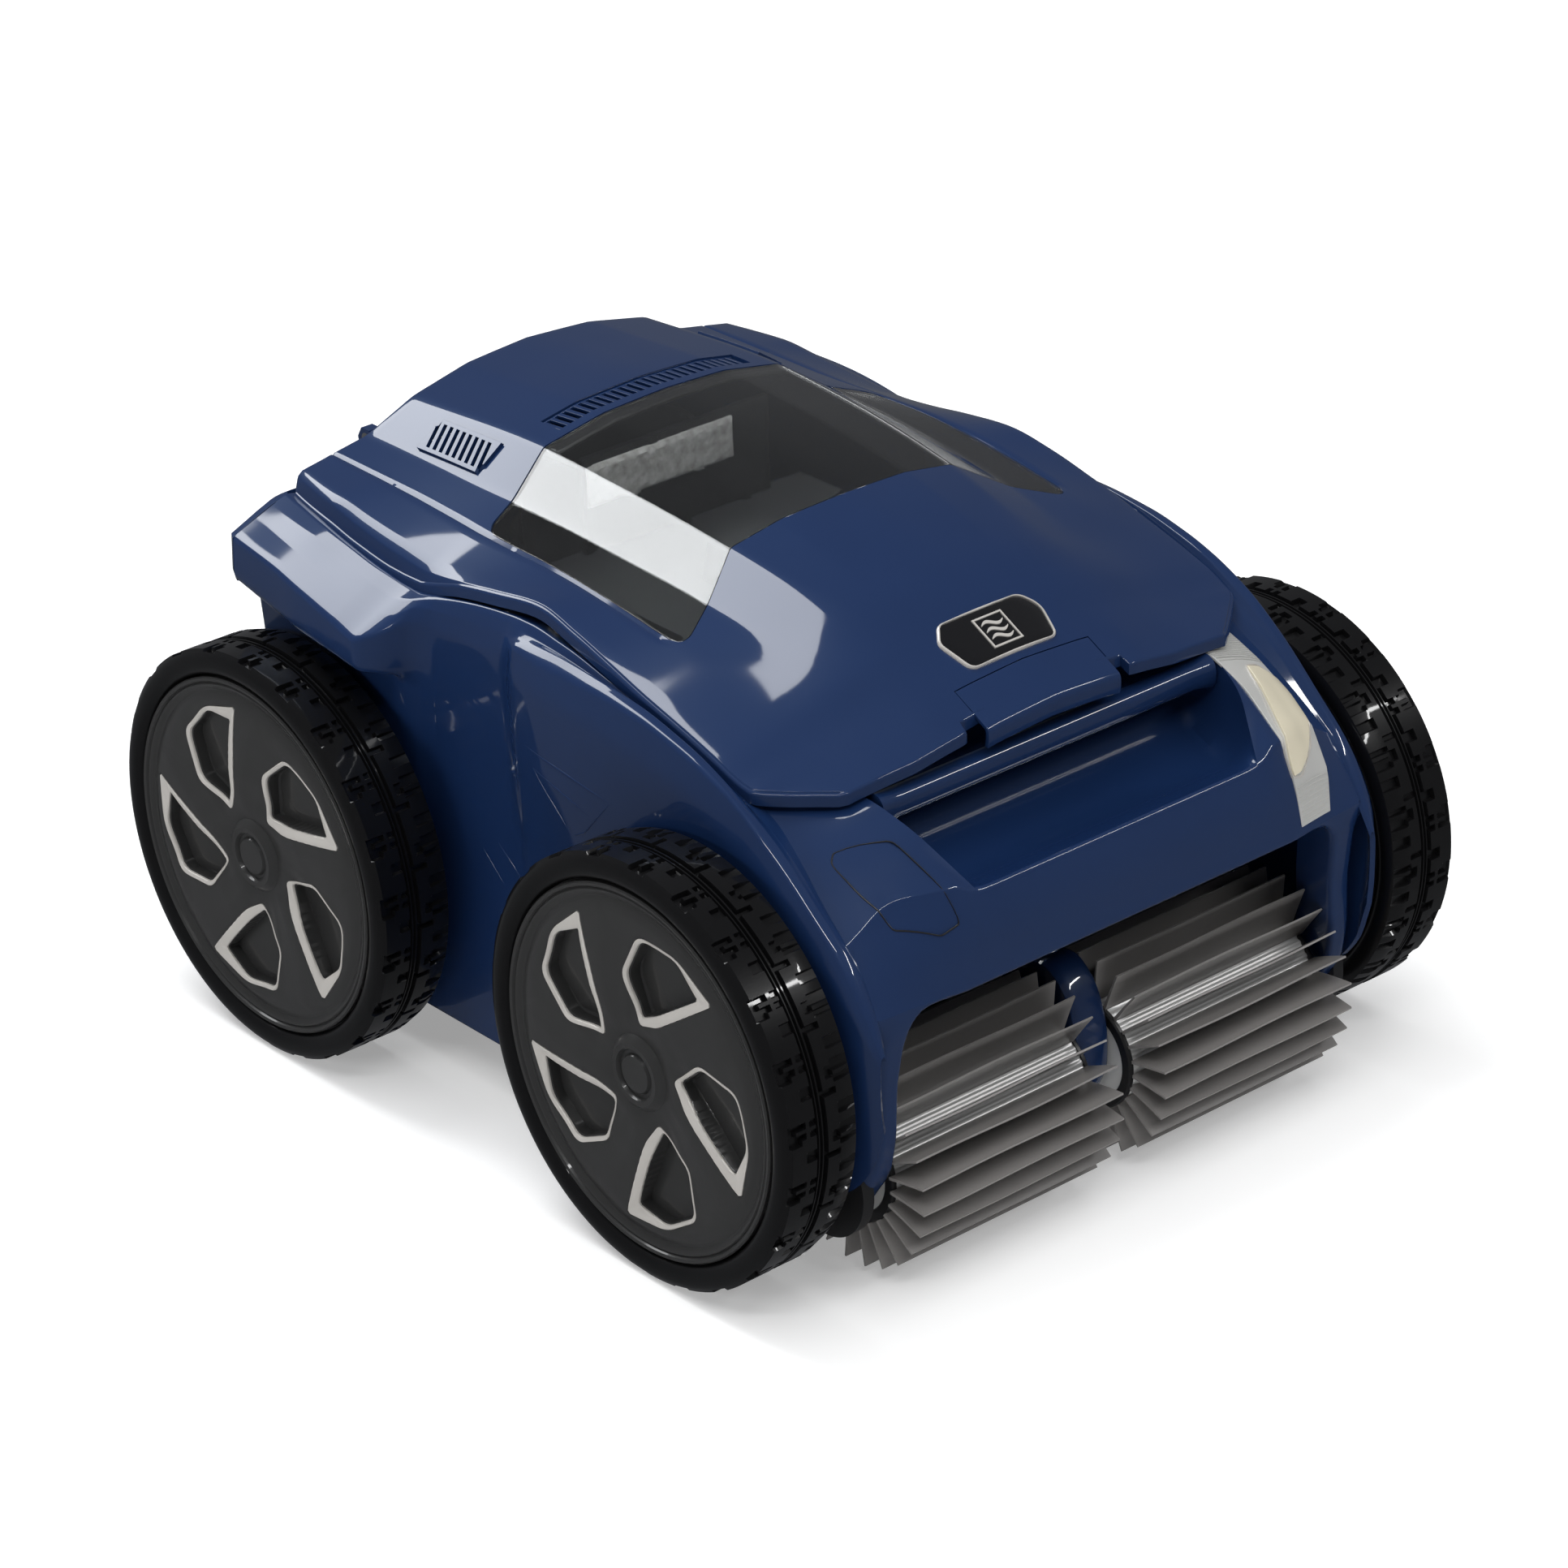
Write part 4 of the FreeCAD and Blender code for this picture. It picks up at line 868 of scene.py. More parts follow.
def wheel_cover_parts():
    """Points and faces of the cover, and of the silver trims, in the wheel's own frame."""
    border = wedge_border()
    angles = np.arctan2(*(border - POCKET_CENTRE).T[::-1])
    mouth = ring_outline(POCKET, POCKET_ROUND, angles)
    inside = ring_outline(POCKET_INNER, POCKET_ROUND, angles)
    loops = []
    for t in (1, 0.8, 0.6, 0.42, 0.27, 0.15, 0.06, 0):
        flat = mouth + (border - mouth) * t
        loops.append(np.column_stack([flat, dish_height(flat)]))
    lip = mouth + (inside - mouth) * 0.12
    edge = dish_height(mouth)
    loops.append(np.column_stack([lip, edge - 0.6]))
    loops.append(np.column_stack([lip, edge - 1.6]))
    loops.append(np.column_stack([inside, edge - 1.8]))
    well = inside + (np.array(POCKET_CENTRE) - inside) * 0.03
    loops.append(np.column_stack([well, edge - 2.2]))
    loops.append(np.column_stack([well, np.full(len(well), POCKET_FLOOR + 1)]))
    for t in (0.08, 0.35, 0.65, 0.9):
        flat = inside + (np.array(POCKET_CENTRE) - inside) * t
        loops.append(np.column_stack([flat, np.full(len(flat), POCKET_FLOOR)]))
    loops = np.array(loops)
    count = loops.shape[1]
    faces = quads(len(loops), count, wrap_columns=True)
    faces.append(tuple((len(loops) - 1) * count + j for j in range(count)))
    trim = []
    for t, drop in ((0.1, -0.5), (0.1, 0.1), (0.3, 0.35), (0.95, -0.5), (1.02, -0.9), (1.02, -1.7)):
        flat = mouth + (inside - mouth) * t
        trim.append(np.column_stack([flat, edge + drop]))
    trim = np.array(trim)
    trim_faces = quads(len(trim), count, wrap_columns=True)
    return loops.reshape(-1, 3), faces, trim.reshape(-1, 3), trim_faces


def turned(profile, count):
    """A profile of (radius, out) turned about the axle."""
    angles = np.linspace(0, 2 * math.pi, count, endpoint=False)
    around = np.stack([np.cos(angles), np.sin(angles)], axis=-1)
    profile = np.array(profile, float)
    points = np.concatenate(
        [
            profile[:, None, :1] * around[None],
            np.broadcast_to(profile[:, None, 1:], (len(profile), count, 1)),
        ],
        axis=-1,
    )
    return points.reshape(-1, 3), quads(len(profile), count, wrap_columns=True)


def spun(points, angle):
    """Points turned about the axle."""
    c, s = math.cos(angle), math.sin(angle)
    x, y = points[:, 0], points[:, 1]
    return np.stack([c * x - s * y, s * x + c * y, points[:, 2]], axis=-1)


PHASES = {"front": 53, "rear": 29.5}


def make_wheels():
    """Four wheels: blocky tyre, dished cover with five pockets, and silver pocket trims."""
    tyre = tyre_points()
    tyre_faces = quads(*tyre.shape[:2], wrap_rows=True, wrap_columns=True)
    cover, cover_faces, trim, trim_faces = wheel_cover_parts()
    hub = [p for p in DISH if p[0] <= 18]
    hub[0] = (0.01, 40.6)
    ring = [p for p in DISH if p[0] >= 79]
    ring += [(87.7, 36.6), (83.6, 36.6), (83.6, 33), (18, 30)]
    for end, end_sign in (("front", -1), ("rear", 1)):
        for side, sign in (("left", -1), ("right", 1)):
            name = f"{end}_{side}"
            y = end_sign * AXLE_Y
            body = name + "_wheel"
            place = on_axle(tyre.reshape(-1, 3), sign, y)
            put(name + "_tyre_tread", place, tyre_faces, "tyre_black", body, (name + "_tyre",))
            angles = [math.radians(PHASES[end]) + k * 2 * WEDGE for k in range(5)]
            wedges = [(spun(cover, angle), cover_faces) for angle in angles]
            points, faces = joined(wedges + [turned(hub, 60), turned(ring, 180)])
            trims, trims_faces = joined([(spun(trim, angle), trim_faces) for angle in angles])
            place = on_axle(points, sign, y)
            put(name + "_wheel_face", place, faces, "cover_black", body, (name + "_wheel_cover",))
            place = on_axle(trims, sign, y)
            put(name + "_pocket_trims", place, trims_faces, "trim_silver", body)


# ------------------------------------------------------------ side shells

# y: inner ledge, lid-gap edge, dip, ridge, crease, lip, wall top, wall middle and foot, as (x, z)
SIDE = {
    184: (
        (129, 250), (138.5, 251.5), (146, 248.6), (156, 244.7), (170, 239.3), (171, 217), (158, 214),
        (150, 120), (150, 26),
    ),
    150: (
        (131, 249), (143.8, 249), (151, 246.6), (160.5, 242.4), (174, 237.6), (175, 214), (160, 212),
        (151, 120), (150, 26),
    ),
    125: (
        (133, 245), (146, 246), (153, 243), (163, 239.1), (177, 234.2), (178, 212), (160, 209),
        (152, 120), (150, 26),
    ),
    100: (
        (135, 241.5), (147.4, 243), (155, 239.8), (164.5, 235.2), (178.5, 229), (179, 210), (160, 208),
        (152, 120), (150, 26),
    ),
    82: (
        (135.5, 240), (147.4, 241.2), (155, 237.8), (164.5, 232.6), (179, 224.8), (179, 208),
        (160, 205), (151, 120), (150, 26),
    ),
    74: (
        (135.5, 240), (147.4, 241), (153.5, 238.8), (162, 233.2), (171, 227), (172, 208), (158, 202),
        (151, 120), (150, 26),
    ),
    66: (
        (135.5, 241), (147.4, 242), (150.5, 240.6), (154, 237.5), (157, 231), (158, 212), (154, 200),
        (150, 120), (150, 26),
    ),
    58: (
        (135.5, 242), (147.3, 243.5), (149.2, 242), (151, 238), (152.5, 230), (152.5, 210), (152, 195),
        (150, 120), (150, 26),
    ),
    30: (
        (135, 246), (146.3, 248.5), (147.8, 246), (149.4, 240.5), (151, 231), (151, 210), (151, 192),
        (150, 120), (150, 26),
    ),
    10: (
        (134, 248), (145, 250.5), (147, 248), (149, 242), (151, 232), (151, 212), (151, 190),
        (150, 120), (150, 26),
    ),
    2: (
        (134, 249), (145, 251), (147.5, 248), (150, 243.5), (152.5, 240), (153.5, 222), (153, 190),
        (150, 120), (150, 26),
    ),
    -6: (
        (134, 249), (145, 251), (147.8, 247), (150.5, 245), (155, 243), (157.5, 228), (156, 190),
        (151, 120), (150, 26),
    ),
    -30: (
        (133, 245), (146, 249), (148.3, 245), (151, 246), (156.5, 242), (159, 228), (158.5, 185),
        (153, 120), (150, 26),
    ),
    -60: (
        (134, 240), (146, 243), (148, 240.5), (151, 244.5), (156.5, 242), (159.5, 226), (159.2, 185),
        (156, 120), (151, 26),
    ),
    -90: (
        (136, 232), (146, 237), (147.6, 236), (150.5, 241), (156.5, 240), (159.5, 222), (159.4, 185),
        (159, 120), (152, 26),
    ),
    -112: (
        (135, 227), (146, 231), (147.6, 231), (150.5, 236), (156.3, 236), (159.5, 219), (159.3, 185),
        (159, 120), (152, 26),
    ),
    -130: (
        (134, 221), (146, 225), (147.5, 226), (150.5, 230.5), (155.8, 231), (159.3, 214), (159.2, 182),
        (158.5, 118), (152, 26),
    ),
    -152: (
        (132, 212), (145, 216), (147, 217), (150, 220), (155, 222), (159, 204), (159, 178),
        (158.5, 116), (152, 27),
    ),
    -175: (
        (139, 200), (146, 204.5), (147.5, 205), (150, 206.5), (154.5, 206.5), (158.8, 194), (159, 170),
        (158.5, 112), (152, 34),
    ),
    -200: (
        (142, 180), (146.5, 184), (147.8, 184.5), (149.8, 185.5), (153.5, 185), (158.4, 175),
        (158.8, 152), (158.5, 108), (152, 44),
    ),
    -220: (
        (144, 163), (146.8, 166), (147.8, 166.5), (149.6, 167), (153, 166), (157.5, 158), (158, 140),
        (158, 104), (151.5, 56),
    ),
    -233: (
        (145.5, 143), (147.2, 146), (148.2, 146.5), (149.6, 147), (152, 146), (155, 141), (156, 128),
        (156, 103), (150.5, 72),
    ),
    -240: (
        (147.5, 127), (148.3, 129), (148.8, 129.3), (149.4, 129.4), (150.2, 128.5), (151, 125),
        (151.2, 116), (151, 103), (149.6, 92),
    ),
}
SIDE_BENDS = (1.2, 0.9, 0.9, 2.6, 5, 5, 12)
SIDE_RUNS = (2, 2, 2, 4, 6, 6, 10, 12)
SIDE_PLACES = (184, 5, 166, 16, 100, 10, 82, 12, 58, 10, 14, 14, -10, 24, -110, 14, -160, 16, -222, 8, -240)


def make_side(name, sign):
    """One side of the body: rear fender with its flat top, wall, and leaf-shaped front fender."""
    places = spaced(*SIDE_PLACES)
    sections = lofted(SIDE, places, SIDE_BENDS, SIDE_RUNS, 5)
    grid = np.empty(sections.shape[:2] + (3,))
    grid[..., 0] = sign * sections[..., 0]
    grid[..., 1] = places[:, None]
    grid[..., 2] = sections[..., 1]
    faces = quads(*grid.shape[:2])
    shell = (name + "_side_shell",)
    piece = put(name + "_side_body", grid.reshape(-1, 3), faces, "navy_shell", "chassis", shell)
    thicken(piece, 2.4)
    round_edges(piece, 0.5, 2, 50)


def side_skin(y, z):
    """How far out the side wall's skin is at y and z, below the crease."""
    section = lofted(SIDE, [y], SIDE_BENDS, SIDE_RUNS, 5)[0]
    low = section[np.argmax(section[:, 0]):]
    return float(np.interp(-z, -low[:, 1], low[:, 0]))


def make_side_marks(name, sign):
    """The sunk triangle with its stroke on the front fender, and two short creases behind it."""
    strokes = (
        ("fender_upper", ((-14, 198), (-75, 192)), 0.7),
        ("fender_stroke", ((-19, 189), (-60, 180)), 0.7),
        ("fender_back", ((-75, 192), (-55, 170), (-46, 165)), 0.6),
        ("fender_front", ((-19, 189), (-44, 165)), 0.5),
        ("wall_crease", ((20, 135), (3, 121)), 0.8),
        ("wall_seam", ((31, 127), (17, 114)), 0.4),
    )
    for label, route, width in strokes:
        line = []
        for (y0, z0), (y1, z1) in zip(route, route[1:]):
            for t in np.linspace(0, 1, 12):
                line.append((y0 + (y1 - y0) * t, z0 + (z1 - z0) * t))
        points = []
        for k, (y, z) in enumerate(line):
            fade = 0.35 + 0.65 * math.sin(math.pi * k / (len(line) - 1))
            for a in range(7):
                turn = math.pi * a / 6
                spread = math.cos(turn) * width * fade
                x = side_skin(y, z + spread) + math.sin(turn) * 0.45 * fade - 0.12
                points.append((sign * x, y, z + spread))
        faces = quads(len(line), 7, wrap_columns=True)
        faces += end_caps(7, len(points))
        put(f"{name}_{label}", points, faces, "navy_shell", "chassis")


# ------------------------------------------------------------ nose

# |x|: from under the lid to the mouth's edge, as (y, z)
NOSE = {
    0: ((-160, 215), (-172, 215), (-187, 213.5), (-206, 206), (-229, 181.5), (-236, 165), (-239, 143)),
    85: ((-160, 215), (-172, 215), (-187, 213.5), (-206, 206), (-229, 181.5), (-236, 165), (-239, 143)),
    97: ((-160, 215), (-172, 215), (-186, 213.5), (-205, 205), (-227, 186), (-235, 166), (-239, 143)),
    112: ((-159, 215), (-171, 213), (-185, 210), (-203, 201.5), (-222, 186), (-232.5, 166), (-237.5, 143)),
    125: ((-158, 215), (-170, 210.5), (-184, 205), (-200, 196.5), (-216.5, 184), (-229, 164), (-236, 143)),
    138: ((-156, 213), (-168, 206), (-183, 198), (-200, 187), (-215, 176), (-227, 160), (-235, 143)),
    147.6: ((-154, 211), (-166, 203), (-180, 193), (-198, 181), (-214, 170), (-226, 156), (-234, 143)),
}
RECESS = ((-160, 214), (-166, 191), (-181, 178.5), (-206, 173), (-229, 181.5), (-236, 165), (-239, 143))
RECESS_END = (104, 103.8, 102.5, 98, 85, 80, 80)
NOSE_HALF = 147.6
NOSE_BENDS = (5, 5, 9, 2.2, 12)
NOSE_RUNS = (6, 6, 8, 8, 6, 8)
# |x| and z of the mouth's side edge, from its upper corner down
MOUTH_SIDE = (
    (143, 114), (142.6, 119), (141, 124), (138, 128), (133, 131), (125, 133), (105, 134.5),
    (60, 136.5), (46, 137.5),
)
LEG_FRONT = ((143, -236), (125, -233.5), (105, -231), (80, -231), (62, -228), (46, -218))
# how far the mouth's edge turns inward and back
MOUTH_ROLL = ((0, 0), (0.9, 0.2), (1.7, 0.9), (2.2, 2.0), (2.4, 3.6), (2.0, 12), (0.5, 24))


def nose_line(x, sunk):
    """The nose's seven feature points at |x|, with the handle recess sunk in by a share."""
    lip = smooth_between(sorted(NOSE), [NOSE[k] for k in sorted(NOSE)], [x])[0]
    share = np.asarray(sunk)[:, None]
    return lip + (np.array(RECESS) - lip) * share


def nose_grid():
    """Points across the nose and down it; the columns bend to follow the recess's ends."""
    inner = [0, 0.2, 0.4, 0.6, 0.75, 0.85, 0.9, 0.94, 0.965, 0.985, 0.996, 1.0]
    outer = spaced(0, 3, 0.12, 8, 0.5, 12, 1)
    columns = [(t, True) for t in inner] + [(t, False) for t in outer]
    grid = []
    for t, within in columns:
        ends = np.array(RECESS_END, float)
        xs = ends * t if within else ends + (NOSE_HALF - ends) * t
        sunk = np.zeros(7)
        if within:
            depth = np.clip((ends - xs) / 13, 0, 1)
            sunk = np.sqrt(1 - (1 - depth) ** 2)
        line = [(x, *nose_line(x, sunk)[k]) for k, x in enumerate(xs)]
        lip = NOSE_BENDS[3] if within else NOSE_BENDS[3] - 1.7 * eased(t / 0.4)
        bends = (*NOSE_BENDS[:3], lip, NOSE_BENDS[4])
        grid.append(rounded_path(line, bends, NOSE_RUNS, 6))
    grid = np.array(grid)
    mirror = grid[:0:-1] * (-1, 1, 1)
    return np.concatenate([mirror, grid])


def leg_points(sign):
    """The leg beside the mouth: rows down it, columns from the mouth's edge outward."""
    rows = []
    heights, sides = np.array(MOUTH_SIDE).T
    for z in spaced(143, 4, 141, 4, 133, 4, 120, 12, 46):
        start = np.interp(-z, -heights, sides)
        front = np.interp(-z, -np.array(LEG_FRONT)[:, 0], np.array(LEG_FRONT)[:, 1])
        row = []
        for t in (0, 0.1, 0.25, 0.4, 0.55, 0.7, 0.85, 1):
            x = start + (NOSE_HALF - start) * t
            at_top = float(nose_line(x, np.zeros(7))[6][0])
            lean = eased((143 - z) / 20)
            y = at_top * (1 - lean) + (front + 5 * max(0, t - 0.5) ** 2 * 4) * lean
            row.append((sign * x, y, z))
        rows.append(row)
    return np.array(rows)


def make_nose():
    """The front bumper: lamp panels, handle recess, rolled mouth edge and two legs."""
    grid = nose_grid()
    columns, rows = grid.shape[:2]
    points = list(grid.reshape(-1, 3))
    faces = quads(columns, rows)
    legs = {sign: leg_points(sign) for sign in (-1, 1)}
    for leg in legs.values():
        faces += quads(*leg.shape[:2], first=len(points))
        points += list(leg.reshape(-1, 3))
    # mouth edge: up the left leg, across, and down the right leg
    across = [p for p in grid[:, -1] if abs(p[0]) < MOUTH_SIDE[0][1] - 1]
    chain = np.concatenate([legs[-1][::-1, 0], across, legs[1][:, 0]])
    run = np.gradient(chain, axis=0)
    inward = np.stack([run[:, 2], 0 * run[:, 0], -run[:, 0]], axis=1)
    inward /= np.maximum(np.linalg.norm(inward, axis=1), 1e-6)[:, None]
    roll = np.array([chain + inward * a + (0, b, 0) for a, b in MOUTH_ROLL])
    faces += quads(*roll.shape[:2], first=len(points))
    points += list(roll.reshape(-1, 3))
    piece = put("nose_bumper", points, faces, "navy_shell", "chassis", ("front_bumper",))
    thicken(piece, 2.2)
    round_edges(piece, 0.4, 2, 55)


def nose_skin(x, t):
    """A point of the outer nose at |x|; t runs 0 to 6 down the feature points."""
    line = nose_line(x, np.zeros(7))
    keys = np.arange(7)
    return np.array([x, np.interp(t, keys, line[:, 0]), np.interp(t, keys, line[:, 1])])


BAR_Y, BAR_Z = -180, 206.4
BAR_DEEP, BAR_TALL = 6.2, 6.6
BAR_SIDES = 32


def make_handle_bar():
    """The carrying bar below the lid's front edge, flared where it meets the recess's ends."""
    points = []
    stations = spaced(-100, 6, -92, 4, -84, 16, 84, 4, 92, 6, 100)
    for x in stations:
        flare = 1 + 0.3 * max(0, (abs(x) - 86) / 14) ** 2
        for k in range(BAR_SIDES):
            turn = 2 * math.pi * k / BAR_SIDES
            c, s = math.cos(turn), math.sin(turn)
            y = BAR_Y + BAR_DEEP * flare * math.copysign(abs(c) ** 0.8, c)
            z = BAR_Z + BAR_TALL * flare * math.copysign(abs(s) ** 0.8, s)
            points.append((x, y, z))
    faces = quads(len(stations), BAR_SIDES, wrap_columns=True)
    faces += end_caps(BAR_SIDES, len(points))
    put("carrying_bar", points, faces, "navy_shell", "chassis", ("handle_bar",))


# ------------------------------------------------------------ inside, as seen through the pane

# |x| range, front face and z range of the felt pad and of the dark carrier behind it
FELT_PAD = ((-56, 30), (58.6, 63.5), (257, 277))
FELT_CARRIER = ((-56, 56), (64, 69), (231.6, 279))


def pad(name, spans, swell, lumps, look, nodes):
    """A soft-edged block with an uneven face."""
    (x0, x1), (y0, y1), (z0, z1) = spans
    across, up = np.linspace(x0, x1, 46), np.linspace(z0, z1, 14)
    points = []
    for y, outward in ((y0, -1), (y1, 1)):
        for z in up:
            for x in across:
                edge = min(1, min(x - x0, x1 - x, z - z0, z1 - z) / 2.5)
                bulge = swell * math.sqrt(max(0, edge * (2 - edge))) - swell
                wave = lumps * math.sin(x * 0.9 + z * 1.7) * math.sin(z * 1.1 - x * 0.37)
                points.append((x, y + outward * (bulge + wave * edge), z))
    rows, columns = len(up), len(across)
    count = rows * columns
    faces = quads(rows, columns) + quads(rows, columns, first=count)
    rim = [j for j in range(columns)] + [i * columns + columns - 1 for i in range(1, rows)]
    rim += [count - 1 - j for j in range(1, columns)]
    rim += [(rows - 1 - i) * columns for i in range(1, rows - 1)]
    for a, c in zip(rim, rim[1:] + rim[:1]):
        faces.append((a, c, c + count, a + count))
    return put(name, points, faces, look, "chassis", nodes)


def make_felt():
    """The felt pad at the back of the basket, and the dark plate that carries it."""
    pad("felt_pad", FELT_PAD, 1.6, 0.5, "felt", ("filter_felt",))
    pad("felt_carrier", FELT_CARRIER, 0.8, 0.0, "black_plastic", ())


# ------------------------------------------------------------ badge, latch, lamps


def plate(name, outline, radii, place, thickness, look, body, nodes=()):
    """A rounded plate: an outline in its own plane, placed by place(u, v, height)."""
    edge = 0.4
    rim = rounded_loop(outline, radii, 4, 6)
    centre = np.mean(outline, axis=0)
    points, count = [], len(rim)
    steps = ((0, 1.0), (thickness - edge, 1.0), (thickness - edge * 0.3, None), (thickness, None))
    for height, share in steps:
        inset = 0 if share else (edge * 0.35 if height < thickness else edge)
        for p in rim:
            toward = (centre - p) / np.linalg.norm(centre - p)
            q = p + toward * inset
            points.append(place(q[0], q[1], height))
    for share in (0.75, 0.5, 0.25):
        for p in rim:
            q = centre + (p - centre) * share
            points.append(place(q[0], q[1], thickness))
    levels = len(points) // count
    faces = quads(levels, count, wrap_columns=True)
    faces.append(tuple((levels - 1) * count + j for j in range(count)))
    faces.append(tuple(range(count)))
    return put(name, points, faces, look, body, nodes)


BADGE_FRAME = (Vector((0, -151, 247.9)), Vector((1, 0, 0)), Vector((0, 0.888, 0.46)))
BADGE = ((-24, 13.5), (24, 13.5), (30.5, 4.5), (25.5, -13.5), (-25.5, -13.5), (-30.5, 4.5))
BADGE_ROUND = (4, 4, 5, 4, 4, 5)
BADGE_TOP = 2.15
WAVE_STEPS = 15


def on_badge(u, v, height):
    """Badge plane to the row frame; the plate bends a little with the hood."""
    origin, across, up = BADGE_FRAME
    normal = across.cross(up)
    spot = origin + across * u + up * v + normal * (height - 0.0016 * u * u)
    return tuple(spot)


def make_badge():
    """Black plate in a silver rim with a plain wave emblem."""
    plate("badge_plate", BADGE, BADGE_ROUND, on_badge, 2.2, "badge_black", "lid", ("lid_badge",))
    points, faces = [], []
    rim = rounded_loop(BADGE, BADGE_ROUND, 4, 6)
    profile = ((0.3, 0.6), (0.45, 1.5), (0.25, 2.2), (-0.2, 2.6), (-0.75, 2.6), (-1.0, 2.1))
    for out, height in profile:
        for p in rim:
            q = p + p / np.linalg.norm(p) * out
            points.append(on_badge(q[0], q[1], height))
    faces = quads(len(profile), len(rim), wrap_rows=True, wrap_columns=True)
    put("badge_rim", points, faces, "trim_silver", "lid")
    points, faces = [], []
    frame_rings = ((8.6, BADGE_TOP), (8.6, 2.75), (7.7, 2.75), (7.7, BADGE_TOP))
    square = np.array([(-1, -1), (1, -1), (1, 1), (-1, 1)], float)
    for half, height in frame_rings:
        for u, v in square * half:
            points.append(on_badge(u, v, height))
    faces = quads(4, 4, wrap_rows=True, wrap_columns=True)
    for level in (-3.6, 0.4, 4.4):
        first = len(points)
        for share in np.linspace(0, 1, WAVE_STEPS):
            crest = level + 1.3 * math.sin(2 * math.pi * share) - 0.4
            thick = 0.25 + 0.75 * math.sin(math.pi * share)
            for dv, height in ((-thick, BADGE_TOP), (-thick, 2.7), (thick, 2.7), (thick, BADGE_TOP)):
                points.append(on_badge(12.4 * share - 6.2, crest + dv, height))
        faces += quads(WAVE_STEPS, 4, wrap_columns=True, first=first)
        faces += end_caps(4, len(points), first)
    put("badge_waves", points, faces, "trim_silver", "lid", sharp=30)


# how far forward and down the tab's lip rolls from the hood's front edge
LATCH_ROLL = ((-1, -0.5), (-1.8, -1.5), (-2.3, -3), (-2.4, -5), (-2.2, -8), (-1.7, -10.5))


def make_latch():
    """The middle tab of the front edge, which is the latch's thumb piece."""
    across = spaced(-1.245, 14, 1.245)
    rows = [[hood_point(s, y) for s in across] for y in spaced(-167.75, 10, -186.6)]
    edge = rows[-1]
    for forward, down in LATCH_ROLL:
        rows.append([p + np.array((0, forward, down)) for p in edge])
    points = np.array(rows)
    faces = quads(*points.shape[:2])
    piece = put("latch_tab", points.reshape(-1, 3), faces, "navy_shell", "latch", ("lid_latch",))
    thicken(piece, 2.2)
    round_edges(piece, 0.4, 2, 50)


# |x| at the inner and outer edge, and t down the nose, of the lamp strip and its window
LAMP_STRIP = (
    (0.06, 100.5, 128), (1.0, 101, 130.5), (2, 101.5, 132.5), (3, 102, 134), (4, 103, 133.5),
    (5, 104, 131), (5.85, 105, 126),
)
LAMP_LENS = (
    (2.35, 116, 124), (2.6, 114.5, 131), (3.2, 111, 132.5), (3.9, 107, 131), (4.4, 104.5, 124.5),
    (4.62, 104, 118), (4.8, 104.5, 110),
)
LAMP_OUTLINE = (
    (2.3, 116), (2.25, 125), (2.6, 132), (3.3, 133.6), (3.95, 132), (4.5, 125), (4.9, 110),
    (4.8, 103.5), (4.3, 103), (3.7, 106), (3.1, 110),
)
PANEL_OUTLINE = (
    (2.3, 130), (2.9, 109), (4.0, 101), (4.72, 97.5), (4.86, 108), (4.45, 127), (3.4, 131.5),
    (2.45, 133.2),
)


def nose_normal(x, t):
    """Outward direction of the nose's skin."""
    a = nose_skin(x + 0.5, t) - nose_skin(x - 0.5, t)
    b = nose_skin(x, t + 0.05) - nose_skin(x, t - 0.05)
    n = np.cross(b, a)
    n /= np.linalg.norm(n)
    return n if n[1] < 0 or n[2] > 0 else -n


def on_nose(x, t, out, sign=1):
    """A point that stands out from the nose's skin."""
    p = nose_skin(x, t) + nose_normal(x, t) * out
    return (sign * p[0], p[1], p[2])


def nose_band(name, sign, edges, out, look, nodes, rows=26, columns=9, thickness=1.4):
    """A strip that lies on the nose between two edges given by t."""
    table = np.array(edges, float)
    points = []
    for t in np.linspace(table[0, 0], table[-1, 0], rows):
        low = np.interp(t, table[:, 0], table[:, 1])
        high = np.interp(t, table[:, 0], table[:, 2])
        for k in range(columns):
            points.append(on_nose(low + (high - low) * k / (columns - 1), t, out, sign))
    piece = put(name, points, quads(rows, columns), look, "chassis", nodes)
    thicken(piece, thickness)
    round_edges(piece, 0.3, 2, 50)
    return piece


def nose_groove(name, sign, route, width, height, look="navy_shell"):
    """A fine raised line on the nose, closed on itself."""
    path = rounded_loop(route, [1.5] * len(route), 4, 3)
    points = []
    for t, x in path:
        centre = np.array(on_nose(x, t, 0))
        normal = nose_normal(x, t)
        hub = np.array(on_nose(115, 3.5, 0))
        side = hub - centre
        side -= normal * side.dot(normal)
        side /= np.linalg.norm(side)
        for a in range(6):
            turn = 2 * math.pi * a / 6
            p = centre + side * math.cos(turn) * width + normal * math.sin(turn) * height
            points.append((sign * p[0], p[1], p[2]))
    faces = quads(len(path), 6, wrap_rows=True, wrap_columns=True)
    put(name, points, faces, look, "chassis")


